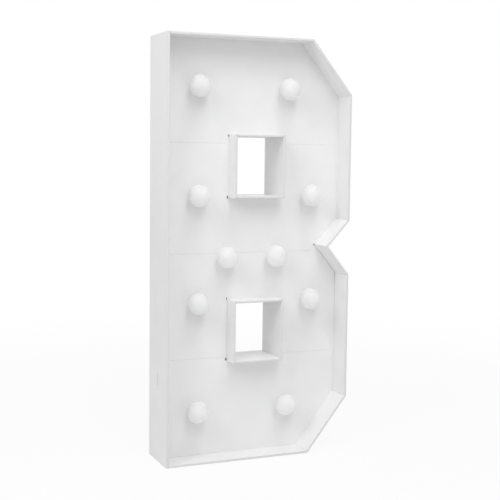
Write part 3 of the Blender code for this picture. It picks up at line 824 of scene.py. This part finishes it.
@dataclass
class LetterBoards:
    """The walls, window frames, face boards and splices: foam boards with softened edges.

    Args:
        upright: the boards that stand front to back, with their cut edges at the front and the back.
        facing: the boards whose skin faces front, from the top down.
        splices: the strips behind the seams.
        edge_share: how much of a softened edge's normal runs front to back.
        glue_gap: from a face board's edge to the wall that it is glued to.
        least_side: the least area of a glued side.
        filler: the filler's thickness in a face board's closed joints.
        seam_filler: its thickness on each side of a seam.
        seam_round: the rounding of the seams' edges.
        seam_least: the least length of a seam's edge.
        lifted: the face board whose lower edge has sprung forward a little.
        lift: how far it has sprung.
        lift_reach: how far up from the seam that shows.
        slit_board: the face board that stands off the wall beside its notch.
        slit_middle: the share of its height at which that side is almost at the wall.
        slit_filler: how far the side moves, as (across, up), at its foot, middle, bend and head.
        relief_radius: the relief holes' radius at the front.
        relief_taper: the share of it left at the back.
        relief_shut: the share of it left on the right of a window, where the holes are filled.
        relief_shifts: how far the holes on the left of the windows lie from the corners, towards the
            windows' middles, the low one before the high one, and the upper window first.
        relief_worn: how much wider the same holes are at the front, in the same order.
        notch_relief: the middle of the relief hole at the notch, as (across, up).
        notch_worn: how much wider that one is at the front.
        splice_round: the rounding of the splices' edges.
    """

    upright: tuple[str, ...] = tuple(f"{place}_wall" for place in WALLS) + tuple(
        f"{window}_frame_{side}" for window in WINDOWS for side in ("left", "right", "top", "bottom")
    )
    facing: tuple[str, ...] = tuple(f"face_board_{level}" for level in ("top", "upper", "lower", "bottom"))
    splices: tuple[str, ...] = (
        "upper_splice_left",
        "upper_splice_right",
        "middle_splice",
        "lower_splice_left",
        "lower_splice_right",
    )
    edge_share: float = 0.35
    glue_gap: float = 0.3 * MM
    least_side: float = 40.0 * MM**2
    filler: float = 0.24 * MM
    seam_filler: float = 0.07 * MM
    seam_round: float = 0.13 * MM
    seam_least: float = 12.0 * MM
    lifted: str = "face_board_upper"
    lift: float = 0.5 * MM
    lift_reach: float = 3.5 * MM
    slit_board: str = "face_board_lower"
    slit_middle: float = 0.53
    slit_filler: Sequence[Pair] = (
        (1.3 * MM, 0.0),
        (1.15 * MM, 0.0),
        (0.35 * MM, 0.9 * MM),
        (1.1 * MM, 0.0),
    )
    relief_radius: float = 2.4 * MM
    relief_taper: float = 0.35
    relief_shut: float = 0.3
    relief_shifts: tuple[float, ...] = tuple(shift * MM for shift in (1.4, 3.2, 3.3, -0.7))
    relief_worn: tuple[float, ...] = (1.5, 0.95, 1.45, 1.15)
    notch_relief: Pair = (154.97 * MM, 463.42 * MM)
    notch_worn: float = 0.85
    splice_round: float = 0.5 * MM

    def _is_edge(self, upright: bool, face: Face) -> int:
        """Return 1 where a face is a cut edge of its board."""
        share = abs(face.normal.y)
        return int(share > self.edge_share if upright else share < 1 - self.edge_share)

    @staticmethod
    def _box(board: Piece) -> tuple[Vector, Vector]:
        """Return the box of the node that a board was copied from."""
        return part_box(board.name.removesuffix("_panel"))

    def _filled(self, face: bmesh.types.BMFace, low: Vector, high: Vector) -> float:
        """Return how thick the filler is between a face board's side and the board beside it.

        Args:
            face: one face of the board.
            low: the board's lowest corner.
            high: its highest corner.

        Returns:
            The filler's thickness, or 0 where the side stands open or is no side.
        """
        normal, middle = face.normal, face.calc_center_median()
        if abs(normal.y) > self.edge_share or face.calc_area() < self.least_side:
            return 0.0
        ends = (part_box(self.facing[-1])[0].z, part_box(self.facing[0])[1].z)
        if min(abs(middle.z - level) for level in (low.z, high.z)) < MERGE:
            return self.filler if min(abs(middle.z - end) for end in ends) < MERGE else self.seam_filler
        rightward, upward = normal.x > 0.3, normal.z > 0.1
        beside_wall = normal.x > 0.99 and middle.z < sum(ends) / 2
        return 0.0 if rightward and (upward or beside_wall) else self.filler

    def _fill_joints(self, board: Piece) -> None:
        """Close a face board's filled joints, which show as no more than a hair line."""
        low, high = self._box(board)
        if board.name.startswith(self.slit_board):
            self._fill_slit(board, low, high)
        for filler in (self.filler, self.seam_filler):
            with Workshop.editing(board, test=lambda face: self._filled(face, low, high) == filler):
                bpy.ops.transform.shrink_fatten(value=filler, use_even_offset=True)

    def _fill_slit(self, board: Piece, low: Vector, high: Vector) -> None:
        """Move a face board's right side towards the wall, by its own way at each of four heights."""
        middle = low.z + self.slit_middle * (high.z - low.z)
        Workshop.bisect(board, middle)
        left = self.notch_relief[0]
        bounds = (low.z - MERGE, low.z + MERGE, middle + MERGE, high.z - MERGE, high.z + MERGE)
        for floor, ceiling, (across, up) in zip(bounds, bounds[1:], self.slit_filler):
            way = (across, 0.0, up)
            Workshop.shift(board, way, lambda place: floor < place.z < ceiling and place.x > left)

    def _reliefs(self) -> list[Relief]:
        """Return the relief holes of all the face boards."""
        found = [Relief(*self.notch_relief, worn=self.notch_worn)]
        shifts, worn = iter(self.relief_shifts), iter(self.relief_worn)
        for window in WINDOWS:
            low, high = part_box(f"{window}_frame_left")[0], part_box(f"{window}_frame_right")[1]
            foot, head = low.z - self.glue_gap, high.z + self.glue_gap
            left, right = low.x - self.glue_gap, high.x + self.glue_gap
            found.append(Relief(left, foot, next(shifts), next(worn)))
            found.append(Relief(left, head, -next(shifts), next(worn)))
            found += [Relief(right, end, shut=True) for end in (foot, head)]
        return found

    def _shape_relief(self, board: Piece, relief: Relief) -> None:
        """Close a relief hole, or move it along the window's side and narrow it towards the back."""
        back = self._box(board)[1].y
        inside, right = back - MERGE, relief.across + MERGE
        limit = max(relief.worn, 1.0) * self.relief_radius + 2 * MERGE
        corner = (relief.across, back, relief.corner)

        def on_rim(place: Vector) -> bool:
            """Return whether a place is on the hole's rim."""
            return relief.reach(place, shifted=False) < limit

        if relief.shut:
            Workshop.scale(board, self.relief_shut, corner, on_rim)
            return
        Workshop.scale(board, self.relief_taper, corner, lambda place: on_rim(place) and place.y > inside)
        Workshop.scale(board, relief.worn, corner, lambda place: on_rim(place) and place.y < inside)
        if relief.shift:
            Workshop.scale(board, 0.0, corner, lambda place: on_rim(place) and place.x > right)
            Workshop.shift(
                board,
                (0.0, 0.0, relief.shift),
                lambda place: MERGE < relief.reach(place, shifted=False) < limit and place.x < right,
            )

    def _shape_reliefs(self, board: Piece) -> None:
        """Shape a face board's relief holes, and merge the points that come together."""
        low, high = self._box(board)
        for relief in self._reliefs():
            if low.z < relief.corner < high.z:
                self._shape_relief(board, relief)
        with Workshop.editing(board, Picking.POINTS):
            bpy.ops.mesh.remove_doubles(threshold=MERGE)

    def _facing_finish(self, face: Face) -> int:
        """Return 2 on the sides of an open relief hole, which are painted dark as the hole's shade, 1 on
        any other cut edge of a face board, and 0 on its skin.
        """
        may_be_rim = face.area < self.least_side / 4 and face.normal.y < 0.9
        if may_be_rim:
            limit = max(self.relief_worn) * self.relief_radius
            if any(not relief.shut and relief.reach(face.center) < limit for relief in self._reliefs()):
                return 2
        return self._is_edge(False, face)

    def _lift_edge(self, board: Piece) -> None:
        """Bend the sprung face board's lower edge forward a little along its seam."""
        if not board.name.startswith(self.lifted):
            return
        low = self._box(board)[0]
        Workshop.bisect(board, low.z + self.lift_reach)
        foot, front = low.z + MERGE, low.y + MERGE
        Workshop.shift(board, (0.0, -self.lift, 0.0), lambda place: place.z < foot and place.y < front)

    def _soften_seams(self, board: Piece) -> None:
        """Soften a face board's front edges along its seams."""
        low, high = self._box(board)

        def is_seam(edge: bmesh.types.BMEdge) -> bool:
            """Return whether an edge is a long level one, at the front of the board's foot or head."""
            first, second = (point.co for point in edge.verts)
            level = abs(first.z - second.z) < MERGE and min(first.z - low.z, high.z - first.z) < MERGE
            front = max(first.y, second.y) < low.y + 2 * self.lift
            return level and front and edge.calc_length() > self.seam_least

        with Workshop.editing(board, Picking.EDGES, is_seam):
            bpy.ops.mesh.bevel(offset=self.seam_round, segments=2, affect="EDGES")

    def build(self) -> None:
        """Make and dress every board."""
        shaping = (self._shape_reliefs, self._fill_joints, self._lift_edge, self._soften_seams)
        is_front_edge, is_side_edge = partial(self._is_edge, True), partial(self._is_edge, False)
        for nodes, steps, rounding, finishes, choice, slot in (
            (self.upright, (), 0.0, (SHEET, CUT_EDGE), is_front_edge, Slot.BOARD),
            (self.facing, shaping, 0.0, (SHEET, CUT_EDGE, PAINTED_HOLE_SHADE), self._facing_finish, Slot.BOARD),
            (self.splices, (), self.splice_round, (RAW_SHEET, CUT_EDGE), is_side_edge, Slot.RAW_BOARD),
        ):
            for node in nodes:
                board = Workshop.copy_node(node, f"{node}_panel")
                for step in steps:
                    step(board)
                Workshop.soften(board, rounding)
                dress_faces(board, finishes, choice)
                seat(board, Body.LETTER, slot, node)


@dataclass
class GlobeBulbs:
    """Ten opal globe bulbs, each with a moulded collar and a threaded cap.

    Args:
        segments: the globe's segments.
        rings: its rings.
        cut_turn: how far round from its front it runs before the neck.
        globe_radius: its radius.
        neck_radius: the neck's radius.
        neck_start: how far in front of the shoulder the neck is straight.
        neck_steps: the steps of the neck's curve.
        joint_width: the width of the groove between the globe and its collar.
        joint_depth: the groove's depth.
        crease: the length of its sides.
        collar_round: the rounding of the collar's end.
        cap_sides: the cap's sides.
        cap_radius: its outer radius.
        cap_length: its length without the tip.
        cap_sunk: how far it runs into the collar.
        cap_skirt: from the collar to the thread.
        thread_turns: the number of rolled threads.
        thread_depth: their depth.
        thread_shape: the shares of a thread's length at which its valley starts and ends, and its crest.
        thread_end: from the thread to the end of the tip.
        cone_start: from the cone's start to that end.
        cone: the cone's shape, as (distance to the end, share of the cap's radius).
        insulator: from the end to where the cone's insulator starts and stops.
        tip_length: the end contact's length.
        tip_round: the length of its tapered end.
        tip_radius: its radius.
        tip_share: the share of it left at the very end.
    """

    segments: int = 56
    rings: int = 36
    cut_turn: float = math.radians(140.0)
    globe_radius: float = 23.75 * MM
    neck_radius: float = 11.5 * MM
    neck_start: float = 5.6 * MM
    neck_steps: int = 6
    joint_width: float = 0.5 * MM
    joint_depth: float = 0.35 * MM
    crease: float = 0.01 * MM
    collar_round: float = 0.6 * MM
    cap_sides: int = 28
    cap_radius: float = 6.9 * MM
    cap_length: float = 20.0 * MM
    cap_sunk: float = 0.8 * MM
    cap_skirt: float = 2.4 * MM
    thread_turns: int = 5
    thread_depth: float = 0.7 * MM
    thread_shape: tuple[float, ...] = (0.30, 0.55, 0.80, 1.0)
    thread_end: float = 5.2 * MM
    cone_start: float = 4.2 * MM
    cone: Stations = ((3.2 * MM, 0.80), (2.0 * MM, 0.44))
    insulator: Pair = (4.0 * MM, 1.9 * MM)
    tip_length: float = 1.8 * MM
    tip_round: float = 0.6 * MM
    tip_radius: float = 2.5 * MM
    tip_share: float = 0.6

    def _neck(self, start: Pair, end: Pair, slope: float) -> Stations:
        """Return stations of a neck that leaves the globe along its skin and ends straight.

        Args:
            start: the globe's last (depth, radius).
            end: the neck's first straight (depth, radius).
            slope: how fast the globe's radius changes with depth at the start.

        Returns:
            The stations after the start, the end among them.
        """
        span = end[0] - start[0]
        found = []
        for number in range(1, self.neck_steps + 1):
            share = number / self.neck_steps
            from_start = 2 * share**3 - 3 * share**2 + 1
            leaving = (share**3 - 2 * share**2 + share) * slope * span
            from_end = 3 * share**2 - 2 * share**3
            found.append((start[0] + share * span, from_start * start[1] + leaving + from_end * end[1]))
        return found

    def _globe(self, name: str, low: Vector, high: Vector) -> Piece:
        """Model the globe, its neck and its collar inside a node's box."""
        middle = axis_of(low, high) + Vector((0.0, low.y + self.globe_radius, 0.0))
        shoulder = high.y - self.cap_length - self.tip_length
        bpy.ops.mesh.primitive_uv_sphere_add(
            segments=self.segments,
            ring_count=self.rings,
            radius=self.globe_radius,
            location=middle,
            rotation=FACING_AXIS,
        )
        globe = Workshop.take(name)
        cut = middle.y - self.globe_radius * math.cos(self.cut_turn)
        start = (cut, self.globe_radius * math.sin(self.cut_turn))
        straight = shoulder - self.neck_start
        groove = self.neck_radius - self.joint_depth
        stations = [start, *self._neck(start, (straight, self.neck_radius), 1 / math.tan(self.cut_turn))]
        stations += [
            (straight + self.crease, groove),
            (straight + self.joint_width, groove),
            (straight + self.joint_width + self.crease, self.neck_radius),
            (shoulder - self.collar_round, self.neck_radius),
            (shoulder, self.neck_radius - self.collar_round),
        ]

        def is_flat(face: bmesh.types.BMFace) -> bool:
            """Return whether a face is the one that fills the cut."""
            return face.normal.y > 0.999 and len(face.verts) > 8

        with Workshop.editing(globe):
            plane = {"plane_co": (middle.x, cut, middle.z), "plane_no": (0.0, 1.0, 0.0)}
            bpy.ops.mesh.bisect(**plane, use_fill=True, clear_outer=True)
            Workshop.choose(globe, Picking.FACES, is_flat)
            Workshop.draw_out(middle, stations)
        Workshop.soften(globe, sharp=40.0)
        collar = straight + self.joint_width / 2
        dress_faces(globe, (OPAL, COLLAR), lambda face: int(face.center.y > collar))
        return globe

    def _cap(self, name: str, low: Vector, high: Vector) -> Piece:
        """Model the threaded cap, its insulator and its tip inside a node's box."""
        axis = axis_of(low, high)
        end = high.y
        start = end - self.cap_length - self.tip_length
        thread_start = start + self.cap_skirt
        pitch = (end - self.thread_end - thread_start) / self.thread_turns
        crest, valley = self.cap_radius, self.cap_radius - self.thread_depth
        stations = [(start - self.cap_sunk, crest), (thread_start, crest)]
        for turn in range(self.thread_turns):
            foot = thread_start + turn * pitch
            for share, radius in zip(self.thread_shape, (valley, valley, crest, crest)):
                stations.append((foot + share * pitch, radius))
        stations += [
            (end - self.cone_start, valley),
            *((end - reach, share * crest) for reach, share in self.cone),
            (end - self.tip_length, self.tip_radius),
            (end - self.tip_round, self.tip_radius),
            (end, self.tip_share * self.tip_radius),
        ]
        cap = Workshop.turned(name, axis, stations, self.cap_sides)
        Workshop.soften(cap, sharp=75.0)
        first, last = (end - reach for reach in self.insulator)
        dress_faces(cap, (PLATED, INSULATOR), lambda face: int(first < face.center.y < last))
        return cap

    def build(self) -> None:
        """Model one bulb, and copy it to every place."""
        globes = Workshop.copies("bulb", "globe", self._globe)
        caps = Workshop.copies("bulb", "screw_cap", self._cap)
        for (node, globe), (_, cap) in zip(globes, caps):
            seat(globe, f"{node}_body", Slot.GLOBE, node)
            seat(cap, f"{node}_body", Slot.CONTACT)


@dataclass
class Lampholders:
    """Ten moulded lampholders: a flange, a ribbed cup and a channel for the cable.

    Args:
        sides: the cup's sides.
        flange_radius: the flange's radius.
        flange: its thickness.
        cup_radius: the cup's radius between its ribs.
        rim: the rounding of its rims.
        fillet: the filling of the corner between the flange and the cup.
        tail: the rounding of the cup's end, as (distance to the back, radius lost).
        rib: how far the ribs stand out.
        rib_space: how far they stay off the fillet and the tail.
        bore_radius: the bore's radius.
        bore: its depth.
        channel_radius: the cable channel's radius.
        channel_sides: its sides.
        channel_back: from the holder's back to the channel's middle.
    """

    sides: int = 48
    flange_radius: float = 18.0 * MM
    flange: float = 2.8 * MM
    cup_radius: float = 12.5 * MM
    rim: float = 0.5 * MM
    fillet: float = 1.2 * MM
    tail: Stations = (
        (2.6 * MM, 0.0),
        (1.2 * MM, 0.3 * MM),
        (0.0, 1.5 * MM),
    )
    rib: float = 0.55 * MM
    rib_space: float = 0.1 * MM
    bore_radius: float = 7.3 * MM
    bore: float = 22.8 * MM
    channel_radius: float = 2.15 * MM
    channel_sides: int = 28
    channel_back: float = 4.95 * MM

    def _drill(self, holder: Piece, place: Place) -> None:
        """Cut the cable's channel across a lampholder."""
        length = 3 * self.cup_radius
        bpy.ops.mesh.primitive_cylinder_add(
            vertices=self.channel_sides, radius=self.channel_radius, depth=length, location=place
        )
        drill = Workshop.take("drill")
        Workshop.modify(holder, "BOOLEAN", operation="DIFFERENCE", solver="EXACT", object=drill)
        Workshop.apply_modifiers(holder)
        bpy.data.objects.remove(drill)

    def _model(self, name: str, low: Vector, high: Vector) -> Piece:
        """Model one lampholder inside a node's box."""
        axis = axis_of(low, high)
        front, back = low.y, high.y
        seat_face = front + self.flange
        stations = [
            (front + self.bore, self.bore_radius),
            (front + self.rim, self.bore_radius),
            (front, self.bore_radius + self.rim),
            (front, self.flange_radius - self.rim),
            (front + self.rim, self.flange_radius),
            (seat_face - self.rim, self.flange_radius),
            (seat_face, self.flange_radius - self.rim),
            (seat_face, self.cup_radius + self.fillet),
            (seat_face + self.fillet, self.cup_radius),
            *((back - reach, self.cup_radius - lost) for reach, lost in self.tail),
        ]
        holder = Workshop.turned(name, axis, stations, self.sides)
        rib_low = seat_face + self.fillet + self.rib_space
        rib_high = back - self.tail[0][0] - self.rib_space

        def is_rib(face: bmesh.types.BMFace) -> bool:
            """Return whether a face is one of every third down the cup's side."""
            middle = face.calc_center_median()
            if not rib_low < middle.y < rib_high or (middle - axis).xz.length < self.bore_radius + self.rim:
                return False
            turn = math.atan2(middle.z - axis.z, middle.x - axis.x) / (2 * math.pi) % 1.0
            return int(turn * self.sides) % 3 == 0

        with Workshop.editing(holder, test=is_rib):
            bpy.ops.mesh.extrude_faces_move(TRANSFORM_OT_shrink_fatten={"value": self.rib})
        self._drill(holder, (axis.x, back - self.channel_back, axis.z))
        Workshop.soften(holder, sharp=35.0)
        dress_faces(holder, (HOLDER,))
        return holder

    def build(self) -> None:
        """Model one lampholder, and copy it to every place."""
        for node, holder in Workshop.copies("lampholder", "holder_cup", self._model):
            seat(holder, Body.LETTER, Slot.HOLDER, node)


@dataclass
class StringCable:
    """The cable that strings the lampholders together.

    Args:
        rounding: how often its tube's faces are split and rounded.
    """

    rounding: int = 1

    def build(self) -> None:
        """Round the cable's own tube and dress it."""
        cable = Workshop.copy_node("string_cable", "string_cable_sheath", flat=False)
        Workshop.modify(cable, "SUBSURF", levels=self.rounding, render_levels=self.rounding)
        Workshop.apply_modifiers(cable)
        Workshop.soften(cable, sharp=60.0)
        dress_faces(cable, (SHEATH,))
        seat(cable, Body.LETTER, Slot.CABLE, "string_cable")


@dataclass
class BatteryBox:
    """The battery case behind the lowest face board, with its cover, switch, cells and contacts.

    Args:
        case_round: the rounding of the case's edges.
        slider_round: the rounding of the slider's and the cells' edges.
        cells: the cells' nodes.
        contacts: the contacts' nodes.
        sleeve_colour: the colour of a cell's sleeve.
        sleeve_end: how much of a cell's end its sleeve leaves bare.
        band: the low and high share of a cell's height that its band takes.
    """

    case_round: float = 0.35 * MM
    slider_round: float = 0.3 * MM
    cells: tuple[str, ...] = ("cell_1", "cell_2", "cell_3")
    contacts: tuple[str, ...] = ("foot_contact", "foot_bridge", "head_contact", "head_bridge")
    sleeve_colour: Colour = (0.09, 0.10, 0.12)
    sleeve_end: float = 1.0 * MM
    band: Pair = (0.70, 0.88)

    def _cell(self, node: str, turned_over: bool) -> None:
        """Round and dress one cell."""
        cell = Workshop.copy_node(node, f"{node}_can")
        Workshop.soften(cell, self.slider_round)
        low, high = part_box(node)
        first, last = self.band
        shares = (1 - last, 1 - first) if turned_over else self.band
        band = tuple(low.z + share * (high.z - low.z) for share in shares)
        sleeve = SleeveFinish(node.replace("cell", "cell_sleeve"), self.sleeve_colour, 0.32, band)
        bare = high.z - self.sleeve_end

        def is_bare(face: Face) -> int:
            """Return 1 on the cell's ends and on what its sleeve leaves bare."""
            return int(abs(face.normal.z) > 0.6 or face.center.z > bare)

        dress_faces(cell, (sleeve, PLATED), is_bare)
        seat(cell, Body.LETTER, Slot.CELL, node)

    def build(self) -> None:
        """Make and dress the case and all that it holds."""
        for node, body, slot, finish, rounding in (
            ("battery_case", Body.LETTER, Slot.CASE, CASE, self.case_round),
            ("battery_cover", Body.COVER, Slot.CASE, CASE, self.case_round),
            ("switch_slider", Body.SLIDER, Slot.SLIDER, DARK, self.slider_round),
            ("case_pad", Body.LETTER, Slot.PAD, LOOPS, self.case_round),
        ):
            piece = Workshop.copy_node(node, f"{node}_shell")
            Workshop.soften(piece, rounding)
            dress_faces(piece, (finish,))
            seat(piece, body, slot, node)
        for number, node in enumerate(self.cells):
            self._cell(node, number % 2 == 1)
        for node in self.contacts:
            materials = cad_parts[node].data.materials
            materials.clear()
            materials.append(PLATED.material())


# The studio


@dataclass(frozen=True)
class SoftBox:
    """A soft light.

    Args:
        name: its name.
        place: where it hangs.
        width: its width.
        height: its height.
        power: its power in watts.
        aim: the point that it faces.
    """

    name: str
    place: Place
    width: float
    height: float
    power: float
    aim: Place = (0.0, 0.0, 0.45)

    def build(self) -> None:
        """Hang the light."""
        data = bpy.data.lights.new(self.name, "AREA")
        data.shape = "RECTANGLE"
        data.size, data.size_y = self.width, self.height
        data.energy = self.power
        lamp = Workshop.place(self.name, data)
        lamp.location = self.place
        direction = Vector(self.aim) - Vector(self.place)
        lamp.rotation_euler = direction.to_track_quat("-Z", "Y").to_euler()


@dataclass
class Studio:
    """The floor, the lights, the white surroundings and the camera.

    Args:
        camera_place: where the camera stands.
        camera_turn: how it is turned, in degrees.
        lens: its focal length in millimetres.
        floor_size: the floor's side.
        floor_drop: how far it lies below the letter's foot.
        floor_colour: the floor's colour.
        floor_glow: how much of the floor's own look is plain white to the camera.
        floor_fade: from and to how far off the rest of it turns white.
        ambient: how strongly the surroundings light the letter.
        lights: the lights.
    """

    camera_place: Place = (-0.8948, -2.0940, 0.6648)
    camera_turn: Place = (84.719, -0.687, -23.042)
    lens: float = 74.50
    floor_size: float = 30.0
    floor_drop: float = 0.5 * MM
    floor_colour: Colour = (0.82, 0.82, 0.82)
    floor_glow: float = 0.90
    floor_fade: Pair = (0.6, 2.2)
    ambient: float = 0.61
    lights: tuple[SoftBox, ...] = (
        SoftBox("key", (-0.45, -2.48, 2.55), 0.5, 1.2, 13.8),
        SoftBox("high", (0.0, -1.3, 3.0), 1.1, 1.1, 17.2),
        SoftBox("left", (-2.0, -1.1, 2.2), 1.3, 1.3, 19.0),
    )

    def _floor(self) -> None:
        """Lay the floor, which fades to plain white away from the letter."""
        bpy.ops.object.select_all(action="DESELECT")
        bpy.ops.mesh.primitive_plane_add(size=self.floor_size, location=(0.0, 0.0, -self.floor_drop))
        floor = Workshop.take("studio_floor")
        bench = SurfaceBench("studio_floor")
        bench.dress(base_color=(*self.floor_colour, 1.0), roughness=0.9, specular_ior_level=0.1)
        away = bench.node("ShaderNodeVectorMath", {"operation": "LENGTH"}, {0: bench.place}, "Value")
        camera = bench.node("ShaderNodeLightPath", output="Is Camera Ray")
        share = camera * (self.floor_glow + (1 - self.floor_glow) * away.rising(*self.floor_fade))
        glow = bench.node("ShaderNodeEmission", None, {"Color": WHITE, "Strength": 1.0})
        skin = Wire(bench, bench.shader.outputs[0])
        mixed = bench.node("ShaderNodeMixShader", None, {0: share, 1: skin, 2: glow})
        bench.feed(bench.tree.nodes["Material Output"].inputs["Surface"], mixed)
        floor.data.materials.append(bench.material)

    def _surroundings(self) -> None:
        """Make the world: plain white to the camera and in reflections, softer as a light."""
        world = bpy.data.worlds.new("studio_world")
        bpy.context.scene.world = world
        world.use_nodes = True
        bench = NodeBench(world.node_tree)
        camera, glossy, through = (
            bench.node("ShaderNodeLightPath", output=f"Is {ray} Ray")
            for ray in ("Camera", "Glossy", "Transmission")
        )
        light, white = (
            bench.node("ShaderNodeBackground", None, {"Color": WHITE, "Strength": strength})
            for strength in (self.ambient, 1.0)
        )
        share = camera.most(glossy).most(through)
        mixed = bench.node("ShaderNodeMixShader", None, {0: share, 1: light, 2: white})
        bench.feed(world.node_tree.nodes["World Output"].inputs["Surface"], mixed)

    def _camera(self) -> None:
        """Stand the camera where the photograph was taken from."""
        data = bpy.data.cameras.new("photo_camera")
        data.lens = self.lens
        camera = Workshop.place("photo_camera", data)
        camera.location = self.camera_place
        camera.rotation_euler = [math.radians(angle) for angle in self.camera_turn]
        bpy.context.scene.camera = camera

    def build(self) -> None:
        """Set up the whole studio."""
        self._camera()
        self._floor()
        self._surroundings()
        for light in self.lights:
            light.build()
        bpy.context.scene.view_settings.view_transform = "Standard"


def main() -> None:
    """Build the studio and every piece, in order."""
    logging.basicConfig(level=logging.INFO, format="%(message)s")
    for part in (Studio(), LetterBoards(), GlobeBulbs(), Lampholders(), StringCable(), BatteryBox()):
        LOG.info("building %s", type(part).__name__)
        part.build()


if __name__ == "__main__":
    main()
